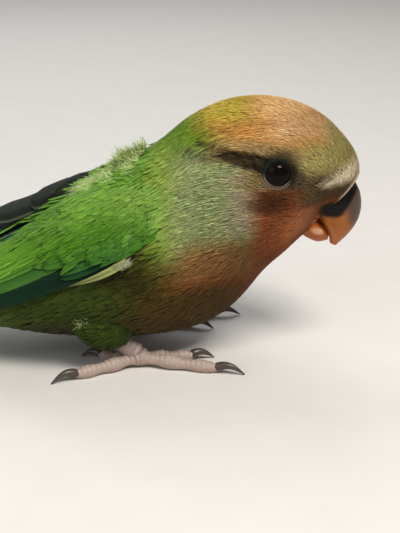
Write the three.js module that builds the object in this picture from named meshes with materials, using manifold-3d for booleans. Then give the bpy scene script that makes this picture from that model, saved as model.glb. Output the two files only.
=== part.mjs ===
// A young peach-faced lovebird, life size, crouched on the floor with its belly feathers just clear of it.
// Millimetres, +Z up, the floor at z = 0. The bird faces +X, its right side is at -Y, and the middle plane of
// its body is y = 0. Its body, neck, head, wings and tail are separate solids that meet across thin gaps.
import * as THREE from "three";
import { mergeVertices } from "three/addons/utils/BufferGeometryUtils.js";
import Module from "manifold-3d";

const wasm = await Module();
wasm.setup();

// Driving dimensions
const gap = 0.3; // between solids that touch
const headTurn = -4; // degrees that the face is turned to the bird's right
const turnFrom = 8; // x where the neck starts to turn, and where it has turned fully
const turnTo = 32;
const eyeRadius = 3.8;
const eyePlace = new THREE.Vector3(39.6, 9.4, 39.5); // the left eye's centre, before the head turns
const eyeForward = 12; // degrees that the eyes look forward of straight sideways, and up
const eyeUp = 9;
const lidRadius = 3.1;
const lidThickness = 0.6;
const lidOut = 2.75; // from the middle of the eye to the plane of its lids

// The body's forms are rings. Each spans a point on the line of the back and one on the line of the belly, as
// [x, z], and is as wide to each side as side says, at the share widest of the way up from the belly.
const body = [
  { top: [54.5, 35.6], bottom: [44.8, 25.6], side: 5.0, widest: 0.5 }, // the root of the bill
  { top: [55.6, 37.5], bottom: [43.4, 23.9], side: 6.9, widest: 0.5 },
  { top: [55.0, 40.6], bottom: [42.1, 22.3], side: 8.7, widest: 0.52 },
  { top: [52.5, 44.2], bottom: [40.6, 20.6], side: 10.6, widest: 0.53 },
  { top: [48.2, 48.2], bottom: [38.6, 18.6], side: 12.1, widest: 0.54 },
  { top: [42.4, 50.8], bottom: [36.8, 16.4], side: 12.8, widest: 0.54 },
  { top: [36.0, 51.6], bottom: [35.0, 13.8], side: 13.2, widest: 0.52 }, // the crown
  { top: [29.4, 50.5], bottom: [32.8, 11.1], side: 13.9, widest: 0.5 },
  { top: [23.0, 47.2], bottom: [30.0, 8.6], side: 15.3, widest: 0.48 }, // the nape
  { top: [17.6, 42.6], bottom: [26.0, 6.4], side: 17.0, widest: 0.47 },
  { top: [12.8, 38.8], bottom: [20.0, 4.8], side: 18.5, widest: 0.48 },
  { top: [7.4, 35.8], bottom: [12.5, 4.0], side: 19.3, widest: 0.49 },
  { top: [1.2, 32.2], bottom: [4.0, 4.0], side: 19.0, widest: 0.5 },
  { top: [-4.8, 27.5], bottom: [-5.0, 4.6], side: 17.4, widest: 0.51 },
  { top: [-10.6, 22.9], bottom: [-13.0, 5.6], side: 14.6, widest: 0.52 },
  { top: [-16.2, 19.0], bottom: [-19.5, 6.4], side: 11.2, widest: 0.54 },
  { top: [-22.0, 15.7], bottom: [-25.0, 6.8], side: 8.0, widest: 0.55 }, // the root of the tail
];
const cheekHollow = { ring: 1.9, angle: 96, reach: [1.2, 30], depth: 4.0 }; // between the bill and the cheek
const headEnd = 7.7; // where the head, neck and torso part, in rings from the bill
const neckEnd = 9.9;

// The cloak is the surface that the folded wings lie on, from the shoulder to their tips.
const cloak = [
  { top: [18.0, 43.6], bottom: [26.4, 4.8], side: 18.2, widest: 0.47 },
  { top: [8.0, 37.0], bottom: [12.6, 2.6], side: 20.3, widest: 0.49 },
  { top: [-2.0, 31.0], bottom: [-1.0, 3.0], side: 19.6, widest: 0.5 },
  { top: [-12.5, 23.4], bottom: [-14.5, 4.2], side: 16.4, widest: 0.51 },
  { top: [-24.0, 17.4], bottom: [-26.5, 4.4], side: 12.6, widest: 0.53 },
  { top: [-36.0, 13.0], bottom: [-38.0, 3.6], side: 10.0, widest: 0.53 },
  { top: [-47.5, 9.4], bottom: [-49.0, 2.8], side: 8.0, widest: 0.5 },
  { top: [-58.5, 6.4], bottom: [-59.5, 1.8], side: 6.4, widest: 0.5 },
];

const upperBill = [
  { top: [54.9, 35.1], bottom: [46.2, 31.0], side: 5.3, widest: 0.3 },
  { top: [55.9, 33.0], bottom: [47.2, 29.5], side: 5.2, widest: 0.3 },
  { top: [56.2, 30.4], bottom: [48.3, 27.8], side: 4.6, widest: 0.3 },
  { top: [55.7, 27.8], bottom: [49.3, 26.1], side: 3.6, widest: 0.32 },
  { top: [54.2, 25.1], bottom: [50.2, 24.4], side: 2.3, widest: 0.4 },
  { top: [51.8, 22.4], bottom: [50.5, 22.9], side: 0.8, widest: 0.5 },
];
const lowerBill = [
  { top: [45.9, 30.1], bottom: [44.5, 25.0], side: 4.8, widest: 0.72 },
  { top: [47.0, 28.5], bottom: [46.1, 23.9], side: 4.3, widest: 0.72 },
  { top: [48.0, 26.9], bottom: [47.6, 23.4], side: 3.3, widest: 0.72 },
  { top: [48.8, 25.2], bottom: [48.7, 23.6], side: 1.7, widest: 0.7 },
];

const vec = (x, y, z) => new THREE.Vector3(x, y, z);
const radians = THREE.MathUtils.degToRad;
const wander = (seed) => 2 * (Math.abs(Math.sin(seed * 12.9898 + 4.1) * 43758.5453) % 1) - 1; // -1 to 1

// A smooth value between the rows of a table, by a Catmull-Rom curve
function between(rows, s, read) {
  const i = Math.min(Math.max(Math.floor(s), 0), rows.length - 2);
  const f = s - i;
  const at = (k) => read(rows[Math.min(Math.max(k, 0), rows.length - 1)]);
  const [a, b, c, d] = [at(i - 1), at(i), at(i + 1), at(i + 2)];
  return b + 0.5 * f * (c - a + f * (2 * a - 5 * b + 4 * c - d + f * (3 * (b - c) + d - a)));
}

// Turns a point of the head or neck about the upright line through the start of the neck
function turned(point) {
  const share = THREE.MathUtils.smoothstep(point.x, turnFrom, turnTo);
  const pivot = vec(turnFrom, 0, 0);
  return point.sub(pivot).applyAxisAngle(vec(0, 0, 1), radians(headTurn * share)).add(pivot);
}

// How far the face is drawn in beside the bill at ring s and angle v
function hollowAt(s, v) {
  const { ring, angle, reach, depth } = cheekHollow;
  const beside = Math.min(v % 360, 360 - (v % 360)); // alike on both sides
  return depth * Math.exp(-(((s - ring) / reach[0]) ** 2) - ((beside - angle) / reach[1]) ** 2);
}

// The point of a form at ring s and angle v: 0 on its top line, 90 at its right side, 180 below. It lies lift
// outside the form.
function formPoint(form, s, v, lift = 0) {
  if (form === body) lift -= hollowAt(s, v);
  const read = (name, k) => between(form, s, (row) => row[name][k]);
  const top = vec(read("top", 0), 0, read("top", 1));
  const bottom = vec(read("bottom", 0), 0, read("bottom", 1));
  const side = between(form, s, (row) => row.side);
  const centre = bottom.clone().lerp(top, between(form, s, (row) => row.widest));
  const up = top.clone().sub(bottom).normalize();
  const cos = Math.cos(radians(v));
  const sin = Math.sin(radians(v));
  const reach = cos > 0 ? top.distanceTo(centre) : bottom.distanceTo(centre);
  const outward = up.clone().multiplyScalar(cos / reach).add(vec(0, -sin / side, 0)).normalize();
  const at = centre.addScaledVector(up, reach * cos).add(vec(0, -side * sin, 0));
  return turned(at.addScaledVector(outward, lift));
}

function toSolid(geometry) {
  const plain = geometry.clone();
  plain.deleteAttribute("normal");
  plain.deleteAttribute("uv");
  const merged = mergeVertices(plain, 1e-4);
  const vertProperties = merged.attributes.position.array;
  const triVerts = new Uint32Array(merged.index.array);
  return new wasm.Manifold(new wasm.Mesh({ numProp: 3, vertProperties, triVerts }));
}

function solidOf(points, triangles) {
  const geometry = new THREE.BufferGeometry().setFromPoints(points);
  geometry.setIndex(triangles);
  const made = toSolid(geometry);
  if (made.volume() > 0) return made;
  geometry.setIndex(triangles.map((_, i) => triangles[i - (i % 3) + 2 - (i % 3)]));
  return toSolid(geometry);
}

// A closed solid through rings of points, each end closed by a fan about its middle
function throughRings(rings) {
  const around = rings[0].length;
  const points = rings.flat();
  const triangles = [];
  for (let i = 0; i + 1 < rings.length; i++)
    for (let j = 0; j < around; j++) {
      const [a, b] = [i * around + j, i * around + ((j + 1) % around)];
      triangles.push(a, b, b + around, a, b + around, a + around);
    }
  for (const ring of [0, rings.length - 1]) {
    const middle = points.length;
    points.push(rings[ring].reduce((sum, p) => sum.add(p), vec(0, 0, 0)).divideScalar(around));
    for (let j = 0; j < around; j++) {
      const [a, b] = [ring * around + j, ring * around + ((j + 1) % around)];
      triangles.push(...(ring ? [a, b, middle] : [b, a, middle]));
    }
  }
  return solidOf(points, triangles);
}

function formSolid(form, { rings, around, lift = 0 }) {
  const last = form.length - 1;
  const places = Array.from({ length: rings + 1 }, (_, i) => (last * i) / rings);
  const angles = Array.from({ length: around }, (_, j) => (360 * j) / around);
  return throughRings(places.map((s) => angles.map((v) => formPoint(form, s, v, lift))));
}

// A closed solid between two grids of points, split into triangles alike on both faces
function shell(outer, inner) {
  const [rows, columns] = [outer.length, outer[0].length];
  const points = [...outer.flat(), ...inner.flat()];
  const below = rows * columns;
  const triangles = [];
  const quad = (a, b, c, d) => triangles.push(a, b, c, a, c, d);
  for (let i = 0; i + 1 < rows; i++)
    for (let j = 0; j + 1 < columns; j++) {
      const a = i * columns + j;
      const [b, c, d] = [a + 1, a + columns + 1, a + columns];
      quad(a, b, c, d);
      triangles.push(below + a, below + c, below + b, below + a, below + d, below + c);
    }
  const rim = [];
  for (let j = 0; j + 1 < columns; j++) rim.push(j);
  for (let i = 0; i + 1 < rows; i++) rim.push(i * columns + columns - 1);
  for (let j = columns - 1; j > 0; j--) rim.push((rows - 1) * columns + j);
  for (let i = rows - 1; i > 0; i--) rim.push(i * columns);
  rim.forEach((a, k) => {
    const b = rim[(k + 1) % rim.length];
    quad(b, a, below + a, below + b);
  });
  return solidOf(points, triangles);
}

const join = (...solids) => solids.flat().reduce((a, b) => a.add(b));

// The largest closed body of a solid
const largest = (solid) => solid.decompose().sort((a, b) => b.volume() - a.volume())[0];

// The half of a solid in front of ring s of the body, or behind it, half a gap clear of the cut
function partedAt(solid, s, front) {
  const [top, bottom, right] = [0, 180, 90].map((v) => formPoint(body, s, v));
  const forward = top.clone().sub(bottom).cross(right.clone().sub(bottom)).normalize();
  if (forward.x < 0) forward.negate();
  const normal = front ? forward : forward.clone().negate();
  return solid.trimByPlane(normal.toArray(), normal.dot(bottom) + gap / 2);
}

const bodyWhole = formSolid(body, { rings: 34, around: 24 });
const bodyGrown = formSolid(body, { rings: 34, around: 24, lift: gap + 0.05 });
const floorCut = (solid) => solid.trimByPlane([0, 0, 1], 0);

// The frame of an eye: z looks out of the head, x runs back along it
function eyeMatrix(side) {
  const level = Math.cos(radians(eyeUp));
  const outward = vec(
    level * Math.sin(radians(eyeForward)),
    side * level * Math.cos(radians(eyeForward)),
    Math.sin(radians(eyeUp)),
  );
  const turn = new THREE.Quaternion().setFromUnitVectors(vec(0, 0, 1), outward);
  const place = vec(eyePlace.x, side * eyePlace.y, eyePlace.z);
  const local = new THREE.Matrix4().compose(place, turn, vec(1, 1, 1));
  const pivot = new THREE.Matrix4().makeTranslation(turnFrom, 0, 0);
  const yaw = new THREE.Matrix4().makeRotationZ(radians(headTurn));
  return pivot.clone().multiply(yaw).multiply(pivot.clone().invert()).multiply(local);
}

const eyeball = (side, radius) =>
  toSolid(new THREE.SphereGeometry(radius, 14, 9).rotateX(Math.PI / 2).applyMatrix4(eyeMatrix(side)));

// The ring of bare skin round an eye, with the edge of the lids inside it
function lids(side) {
  const ring = new THREE.TorusGeometry(lidRadius, lidThickness, 6, 16).translate(0, 0, lidOut);
  const skin = new THREE.SphereGeometry(1, 16, 8).rotateX(Math.PI / 2).scale(4.5, 4.3, 1.5);
  skin.translate(-0.2, 0, lidOut - 0.9);
  return join([ring, skin].map((shape) => toSolid(shape.applyMatrix4(eyeMatrix(side)))));
}

// A nostril beside the root of the bill, and the line of the mouth behind its corner
function nostril(side) {
  const pit = new THREE.SphereGeometry(0.62, 8, 6);
  const at = turned(vec(54.5, side * 2.5, 37.0));
  return toSolid(pit.translate(at.x, at.y, at.z));
}

function mouthLine(side) {
  const places = [vec(46.6, side * 5.2, 30.4), vec(45.0, side * 6.6, 30.6), vec(43.4, side * 8.6, 31.2)];
  return taperedTube(places.map(turned), [0.45, 0.4, 0.25], 5, 4);
}

function headSolid() {
  const front = partedAt(bodyWhole, headEnd, true);
  const withLids = join(front, lids(1), lids(-1));
  const sockets = join(eyeball(1, eyeRadius + gap), eyeball(-1, eyeRadius + gap));
  const bills = [upperBill, lowerBill].map((form) => formSolid(form, { rings: 5, around: 14, lift: gap }));
  const openings = [nostril(1), nostril(-1), mouthLine(1), mouthLine(-1), ...bills];
  return largest(withLids.subtract(sockets).subtract(join(openings)));
}

// The folded wing's outline on the cloak: its lower edge runs from the bend to the tip, its upper one along
// the back.
const wingEdge = [
  { c: 0.12, low: 66, high: 36 },
  { c: 0.9, low: 72, high: 25 },
  { c: 1.9, low: 79, high: 17 },
  { c: 3.0, low: 85, high: 13 },
  { c: 4.1, low: 86, high: 16 },
  { c: 5.2, low: 80, high: 26 },
  { c: 6.1, low: 72, high: 44 },
];

// The plate that carries the wing's feathers
const plateThickness = 0.7;
function wingPlate(side, { rows, columns, last }) {
  const grid = (lift) =>
    Array.from({ length: rows + 1 }, (_, i) => {
      const t = (last * i) / rows;
      const c = between(wingEdge, t, (row) => row.c);
      const low = between(wingEdge, t, (row) => row.low);
      const high = between(wingEdge, t, (row) => row.high);
      return Array.from({ length: columns + 1 }, (_, j) =>
        formPoint(cloak, c, -side * (low + ((high - low) * j) / columns), lift),
      );
    });
  return shell(grid(plateThickness), grid(0));
}

// A feather's vane on the cloak. Its middle runs from root to tip, each [ring, angle], and climbs from the
// plate to the height tipLift. Its half width is in millimetres, and its lower edge lies over the next vane.
const vaneThickness = 0.42;
const vaneTilt = 0.5;
const vaneStops = [0, 0.32, 0.66, 0.88, 1];
const vaneShape = [0.55, 0.9, 1, 0.82, 0.3];

function vane(side, { root, tip, half, rootLift, tipLift, bend, across }) {
  const grid = (extra) =>
    vaneStops.map((t, i) => {
      const c = root[0] + (tip[0] - root[0]) * t;
      const v = root[1] + (tip[1] - root[1]) * t + bend * Math.sin(Math.PI * t);
      const around = between(cloak, c, (row) => row.side);
      const wide = half * vaneShape[i];
      return across.map((k) => {
        const aside = ((k * wide) / around) * (180 / Math.PI);
        const shorter = k === 0 || i < 3 ? 0 : 0.02 * wide;
        const height = rootLift + (tipLift - rootLift) * t + vaneTilt * k + 0.08 * (k === 0) + extra;
        return formPoint(cloak, c - shorter, -side * (v + aside), height);
      });
    });
  return shell(grid(vaneThickness), grid(0));
}

// The tiers of the wing's feathers, from the lowest feather to the highest. Each feather's root and tip are a
// [ring, angle] of the cloak.
const tiers = [
  {
    count: 5, // long flight feathers
    roots: [[0.9, 76], [1.5, 58]],
    tips: [[6.6, 62], [4.9, 30]],
    half: 2.3,
    across: [-1, 0, 1],
    lifts: [0.1, 0.3],
    step: 0.45,
    bend: 10,
  },
  {
    count: 6, // inner flight feathers
    roots: [[1.1, 70], [1.2, 22]],
    tips: [[4.5, 68], [3.8, 18]],
    half: 2.85,
    across: [-1, 0, 1],
    lifts: [0.1, 2.0],
    step: 0.02,
    bend: 2,
  },
  {
    count: 6, // their coverts
    roots: [[0.6, 71], [0.6, 28]],
    tips: [[2.5, 75], [2.2, 21]],
    half: 2.85,
    across: [-1, 1],
    lifts: [0.1, 2.0],
    step: 0,
    bend: 0,
  },
  {
    count: 5, // the coverts of the shoulder
    roots: [[0.2, 65], [0.25, 36]],
    tips: [[1.45, 69], [1.25, 28]],
    half: 3.1,
    across: [-1, 1],
    lifts: [0.1, 1.7],
    step: 0,
    bend: 0,
  },
];

function wingSolid(side) {
  const mix = (a, b, t) => a.map((x, i) => x + (b[i] - x) * t);
  const vanes = tiers.flatMap((tier, row) =>
    Array.from({ length: tier.count }, (_, k) => {
      const t = k / (tier.count - 1);
      return vane(side, {
        root: mix(...tier.roots, t),
        tip: mix(...tier.tips, t),
        half: tier.half * (1 + 0.06 * wander(row * 31 + k)),
        rootLift: tier.lifts[0] + 0.4 * tier.step * k,
        tipLift: tier.lifts[1] + tier.step * k,
        bend: tier.bend,
        across: tier.across,
      });
    }),
  );
  return largest(join(wingPlate(side, { rows: 7, columns: 4, last: 4.6 }), vanes).subtract(bodyGrown));
}

// The tail's core, under the coverts
const tailCore = [
  { top: [-22.4, 15.5], bottom: [-25.4, 6.7], side: 7.7, widest: 0.55 },
  { top: [-29.0, 12.0], bottom: [-31.0, 4.6], side: 7.2, widest: 0.55 },
  { top: [-38.0, 7.8], bottom: [-39.5, 2.6], side: 6.6, widest: 0.55 },
  { top: [-47.0, 4.6], bottom: [-47.6, 1.4], side: 5.2, widest: 0.5 },
];
const tailMiddle = [
  { x: -24.0, z: 10.6 },
  { x: -35.0, z: 6.0 },
  { x: -47.0, z: 2.4 },
  { x: -58.0, z: 0.3 },
  { x: -66.0, z: -0.25 },
];
const tailPairs = 6;

// A point of the tail: t along it, aside from its middle, and lifted above its lowest feather
function tailPoint(t, aside, lift) {
  const s = t * (tailMiddle.length - 1);
  const x = between(tailMiddle, s, (row) => row.x);
  const z = between(tailMiddle, s, (row) => row.z);
  return vec(x, aside, z + lift - (0.012 * aside * aside) * (1 - t));
}

function tailVane(pair, side) {
  const share = pair / (tailPairs - 1);
  const end = 1 - 0.2 * share ** 1.3;
  const shape = [0.6, 0.85, 1, 0.86, 0.3];
  const lift = 1.5 - 0.28 * pair;
  const grid = (extra) =>
    shape.map((w, i) => {
      const t = [0.06, 0.35, 0.7, 0.9, 1][i] * end;
      const middle = side * (0.9 + share * 1.8 + t * share * 5.2);
      return [-1, 0, 1].map((k) => tailPoint(t, middle + k * 2.35 * w, lift + extra - 0.1 * k * side));
    });
  return shell(grid(0.55), grid(0));
}

function tailSolid() {
  const vanes = Array.from({ length: tailPairs * 2 }, (_, i) => tailVane(i >> 1, i % 2 ? 1 : -1));
  const core = formSolid(tailCore, { rings: 6, around: 14 });
  return largest(floorCut(join(core, vanes)));
}

// A tube of changing radius through points, closed at both ends
function taperedTube(points, radii, sides, rings) {
  const curve = new THREE.CatmullRomCurve3(points);
  const frames = curve.computeFrenetFrames(rings, false);
  const rows = radii.map((r) => ({ r }));
  const made = Array.from({ length: rings + 1 }, (_, i) => {
    const centre = curve.getPointAt(i / rings);
    const r = between(rows, ((radii.length - 1) * i) / rings, (row) => row.r);
    return Array.from({ length: sides }, (_, j) => {
      const a = (2 * Math.PI * j) / sides;
      return centre
        .clone()
        .addScaledVector(frames.normals[i], r * Math.cos(a))
        .addScaledVector(frames.binormals[i], r * Math.sin(a));
    });
  });
  return throughRings(made);
}

// The foot: the shank lies back and up to the ankle, and two toes point forward and two back
const ankle = vec(2.5, 11.0, 8.6);
const toeRoot = vec(13.0, 11.0, 2.5);
const toeHeight = 1.05;
const toes = [
  { name: "1", heading: 200, length: 8.5, claw: 3.6 },
  { name: "2", heading: -14, length: 11, claw: 4 },
  { name: "3", heading: 12, length: 16, claw: 4.8 },
  { name: "4", heading: 152, length: 13.5, claw: 4.6 },
];

const sided = (side, point) => vec(point.x, side * point.y, point.z);
const toeAlong = (toe, distance, height) =>
  vec(
    toeRoot.x + distance * Math.cos(radians(toe.heading)),
    toeRoot.y + distance * Math.sin(radians(toe.heading)),
    height,
  );

function footSolid(side) {
  const shank = taperedTube(
    [ankle, ankle.clone().lerp(toeRoot, 0.5).add(vec(0, 0, 0.3)), toeRoot].map((p) => sided(side, p)),
    [2.1, 1.6, 2.0],
    7,
    4,
  );
  const pads = [2.1, 1.2, 1.5, 1.15, 1.4, 1.05];
  const digits = toes.map((toe) =>
    taperedTube(
      [0, 0.35, 0.7, 1].map((t) =>
        sided(side, toeAlong(toe, t * toe.length, toeHeight + 0.9 * (1 - t) * (1 - t))),
      ),
      pads,
      6,
      6,
    ),
  );
  const whole = floorCut(join(shank, digits));
  return largest(whole.subtract(bodyGrown).subtract(thighBulk(side, gap)));
}

function clawSolid(side, toe) {
  const from = toe.length + gap;
  const places = [
    [0, toeHeight + 0.1],
    [0.45 * toe.claw, toeHeight + 0.45],
    [toe.claw, 0.15],
  ];
  const points = places.map(([d, h]) => sided(side, toeAlong(toe, from + d, h)));
  return largest(floorCut(taperedTube(points, [0.95, 0.75, 0.3], 5, 4)));
}

function thighBulk(side, lift) {
  const bulk = new THREE.SphereGeometry(1, 14, 10).scale(6.8 + lift, 5.0 + lift, 7.6 + lift);
  return toSolid(bulk.rotateY(radians(30)).translate(4.4, side * 12.0, 10.6));
}

const thighSolid = (side) => largest(thighBulk(side, 0).subtract(bodyGrown));

const torsoSolid = partedAt(bodyWhole, neckEnd, false);
const neckSolid = partedAt(partedAt(bodyWhole, headEnd, false), neckEnd, true);

const colours = {
  crown: 0xc98f4e,
  green: 0x6fa52f,
  belly: 0x9aa64a,
  bill: 0xb98048,
  eye: 0x120d0b,
  foot: 0x9a918a,
  claw: 0x4b4440,
};

const bird = new THREE.Group();

function addPart(name, solid, colour, roughness) {
  const mesh = solid.getMesh();
  const geometry = new THREE.BufferGeometry();
  geometry.setAttribute("position", new THREE.BufferAttribute(mesh.vertProperties, 3));
  geometry.setIndex(new THREE.BufferAttribute(mesh.triVerts, 1));
  const made = new THREE.Mesh(geometry, new THREE.MeshStandardMaterial({ color: colour, roughness }));
  made.name = name;
  bird.add(made);
}

addPart("head", headSolid(), colours.crown, 0.8);
addPart("neck", neckSolid, colours.green, 0.8);
addPart("torso", torsoSolid, colours.belly, 0.8);
addPart("tail", tailSolid(), colours.green, 0.7);
addPart("upper_bill", formSolid(upperBill, { rings: 8, around: 14 }), colours.bill, 0.35);
addPart("lower_bill", formSolid(lowerBill, { rings: 4, around: 12 }), colours.bill, 0.4);
for (const [name, side] of [
  ["right", -1],
  ["left", 1],
]) {
  addPart(`eye_${name}`, eyeball(side, eyeRadius), colours.eye, 0.05);
  addPart(`wing_${name}`, wingSolid(side), colours.green, 0.7);
  addPart(`thigh_${name}`, thighSolid(side), colours.green, 0.8);
  addPart(`foot_${name}`, footSolid(side), colours.foot, 0.6);
  for (const toe of toes) addPart(`claw_${name}_${toe.name}`, clawSolid(side, toe), colours.claw, 0.4);
}

// The origin is the middle of the bird's outline on the floor
const extent = new THREE.Box3().setFromObject(bird);
bird.position.set(-(extent.min.x + extent.max.x) / 2, -(extent.min.y + extent.max.y) / 2, 0);

export default bird;
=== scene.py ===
# The looks of a young peach-faced lovebird, life size: its skin, plumage, eyes, bill, wings, tail and feet.
import math

import bpy
import numpy as np
from mathutils import Matrix, Vector


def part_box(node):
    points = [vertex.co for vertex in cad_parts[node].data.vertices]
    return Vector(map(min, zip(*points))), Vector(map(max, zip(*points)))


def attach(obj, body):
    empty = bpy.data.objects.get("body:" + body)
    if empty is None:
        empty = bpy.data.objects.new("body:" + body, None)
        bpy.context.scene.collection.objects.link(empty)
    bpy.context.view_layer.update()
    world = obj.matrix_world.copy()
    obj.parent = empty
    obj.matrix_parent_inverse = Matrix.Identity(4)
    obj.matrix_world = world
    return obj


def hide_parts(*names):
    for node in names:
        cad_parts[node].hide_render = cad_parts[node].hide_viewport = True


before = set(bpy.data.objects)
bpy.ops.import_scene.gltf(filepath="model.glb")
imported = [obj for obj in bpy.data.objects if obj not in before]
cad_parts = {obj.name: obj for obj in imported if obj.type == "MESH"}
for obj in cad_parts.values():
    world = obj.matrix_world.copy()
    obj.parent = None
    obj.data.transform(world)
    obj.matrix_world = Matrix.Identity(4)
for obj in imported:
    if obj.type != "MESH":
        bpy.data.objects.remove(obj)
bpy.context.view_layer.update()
chance = np.random.default_rng(20)  # shifts each feather's own streaks

# Places and sizes are in the bird's own millimetres: x forward, y to its left, z up from the floor, with the
# middle plane of the body at y = 0. The face is turned a little to the bird's right.
SIDES = ((-1, "right"), (1, "left"))
HEAD_TURN = -4.0
TURN_FROM, TURN_TO = 8.0, 32.0
EYE = (39.6, 9.4, 39.5)
EYE_RADIUS = 3.8
EYE_FORWARD, EYE_UP = 12.0, 9.0
COAT = 0.8  # how deep the plumage lies over the skin
FLOOR_GAP = 0.02  # the soles' height over the floor

# A form is a row of rings: the top's x and z, the bottom's x and z, the half width, and the share of the way
# up from the bottom where it is widest.
BODY = [
    (54.5, 35.6, 44.8, 25.6, 5.0, 0.50),  # the root of the bill
    (55.6, 37.5, 43.4, 23.9, 6.9, 0.50),
    (55.0, 40.6, 42.1, 22.3, 8.7, 0.52),
    (52.5, 44.2, 40.6, 20.6, 10.6, 0.53),
    (48.2, 48.2, 38.6, 18.6, 12.1, 0.54),
    (42.4, 50.8, 36.8, 16.4, 12.8, 0.54),
    (36.0, 51.6, 35.0, 13.8, 13.2, 0.52),  # the crown
    (29.4, 50.5, 32.8, 11.1, 13.9, 0.50),
    (23.0, 47.2, 30.0, 8.6, 15.3, 0.48),  # the nape
    (17.6, 42.6, 26.0, 6.4, 17.0, 0.47),
    (12.8, 38.8, 20.0, 4.8, 18.5, 0.48),
    (7.4, 35.8, 12.5, 4.0, 19.3, 0.49),
    (1.2, 32.2, 4.0, 4.0, 19.0, 0.50),
    (-4.8, 27.5, -5.0, 4.6, 17.4, 0.51),
    (-10.6, 22.9, -13.0, 5.6, 14.6, 0.52),
    (-16.2, 19.0, -19.5, 6.4, 11.2, 0.54),
    (-22.0, 15.7, -25.0, 6.8, 8.0, 0.55),  # the root of the tail
]
HOLLOW_RING, HOLLOW_ANGLE, HOLLOW_DEPTH = 1.9, 96.0, 4.0  # between the bill and the cheek
HOLLOW_REACH = (1.2, 30.0)
# The plumage meets the lids at this radius and height about the line that the eye looks along, and slopes off
LID_RADIUS, LID_HEIGHT, LID_SLOPE = 2.6, 2.84, 2.8

# Lines of the side view, as x, z and width: the furrow in the plumage over the eye, also darkened with
# painted shade, and the pale edge above the bill
FURROW_LINE = [
    (38.2, 41.4, 1.9), (35.5, 41.8, 1.9), (32.5, 42.4, 1.45), (29.3, 43.2, 1.1), (27.0, 43.9, 0.8),
    (25.2, 44.6, 0.5),
]
FURROW_DEPTH = 0.6
BILL_EDGE_LINE = [
    (48.8, 36.6, 0.5), (50.6, 36.9, 1.3), (52.2, 37.5, 2.0), (53.8, 38.0, 2.4), (55.2, 38.6, 2.4),
]

# The surface that the folded wings lie on
CLOAK = [
    (18.0, 43.6, 26.4, 4.8, 18.2, 0.47),
    (8.0, 37.0, 12.6, 2.6, 20.3, 0.49),
    (-2.0, 31.0, -1.0, 3.0, 19.6, 0.50),
    (-12.5, 23.4, -14.5, 4.2, 16.4, 0.51),
    (-24.0, 17.4, -26.5, 4.4, 12.6, 0.53),
    (-36.0, 13.0, -38.0, 3.6, 10.0, 0.53),
    (-47.5, 9.4, -49.0, 2.8, 8.0, 0.50),
    (-58.5, 6.4, -59.5, 1.8, 6.4, 0.50),
]
TAIL_CORE = [
    (-19.0, 17.2, -22.4, 7.0, 8.6, 0.55),
    (-29.0, 12.2, -31.0, 4.6, 7.4, 0.55),
    (-38.0, 8.2, -39.5, 2.8, 6.8, 0.55),
    (-47.0, 5.2, -47.6, 1.8, 5.6, 0.50),
]
UPPER_BILL = [
    (54.9, 35.1, 46.2, 31.0, 5.3, 0.30),
    (55.9, 33.0, 47.2, 29.5, 5.2, 0.30),
    (56.2, 30.4, 48.3, 27.8, 4.6, 0.30),
    (55.7, 27.8, 49.3, 26.1, 3.6, 0.32),
    (54.2, 25.1, 50.2, 24.4, 2.3, 0.40),
    (51.8, 22.4, 50.5, 22.9, 0.8, 0.50),
]
LOWER_BILL = [
    (45.9, 30.1, 44.5, 25.0, 4.8, 0.72),
    (47.5, 28.7, 46.2, 23.9, 4.4, 0.72),
    (49.1, 27.1, 48.1, 23.2, 3.5, 0.72),
    (50.2, 25.4, 50.0, 23.5, 1.8, 0.70),
]
# The feathered thigh, from the knee back and down to the ankle
THIGH = [
    (9.2, 16.8, 13.4, 10.4, 3.2, 0.50),
    (4.8, 17.2, 11.0, 5.6, 5.0, 0.50),
    (0.8, 15.0, 6.8, 4.2, 4.7, 0.50),
    (-0.8, 11.6, 3.4, 5.4, 3.1, 0.50),
    (0.6, 10.0, 2.9, 7.2, 1.7, 0.50),
]
THIGH_ASIDE = 12.0
THIGH_COAT = 0.6


def ramp(value, start, end):
    """0 at start and 1 at end, smooth between; start may be the larger."""
    t = np.clip((np.asarray(value, float) - start) / (end - start), 0, 1)
    return t * t * (3 - 2 * t)


def between(rows, s):
    """The row of numbers at s, on a smooth curve through the rows."""
    rows = np.asarray(rows, float)
    inside = np.clip(s, 0, len(rows) - 1)
    i = np.clip(np.floor(inside).astype(int), 0, len(rows) - 2)
    f = (inside - i)[..., None]
    a, b, c, d = (rows[np.clip(i + k, 0, len(rows) - 1)] for k in (-1, 0, 1, 2))
    curve = b + 0.5 * f * (c - a + f * (2 * a - 5 * b + 4 * c - d + f * (3 * (b - c) + d - a)))
    return curve + (s - inside)[..., None] * (c - b)  # straight on past the ends


def from_top(v):
    """Degrees from a form's top line, alike on both sides."""
    return np.minimum(v % 360, 360 - v % 360)


def turned(places):
    """Places of the head or neck, turned about the upright line through the start of the neck."""
    places = np.array(places, float)
    angle = math.radians(HEAD_TURN) * ramp(places[..., 0], TURN_FROM, TURN_TO)
    x, y = places[..., 0] - TURN_FROM, places[..., 1].copy()
    places[..., 0] = TURN_FROM + x * np.cos(angle) - y * np.sin(angle)
    places[..., 1] = x * np.sin(angle) + y * np.cos(angle)
    return places


def stroke(x, z, line):
    """1 on a line of the side view, fading to 0 at its width from it."""
    share = np.zeros(np.broadcast(x, z).shape)
    for (ax, az, wide), (bx, bz, end) in zip(line, line[1:]):
        t = np.clip(((x - ax) * (bx - ax) + (z - az) * (bz - az)) / ((bx - ax) ** 2 + (bz - az) ** 2), 0, 1)
        far = np.hypot(x - ax - t * (bx - ax), z - az - t * (bz - az)) / (wide + (end - wide) * t)
        share = np.maximum(share, 1 - ramp(far, 0.25, 1))
    return share


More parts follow.
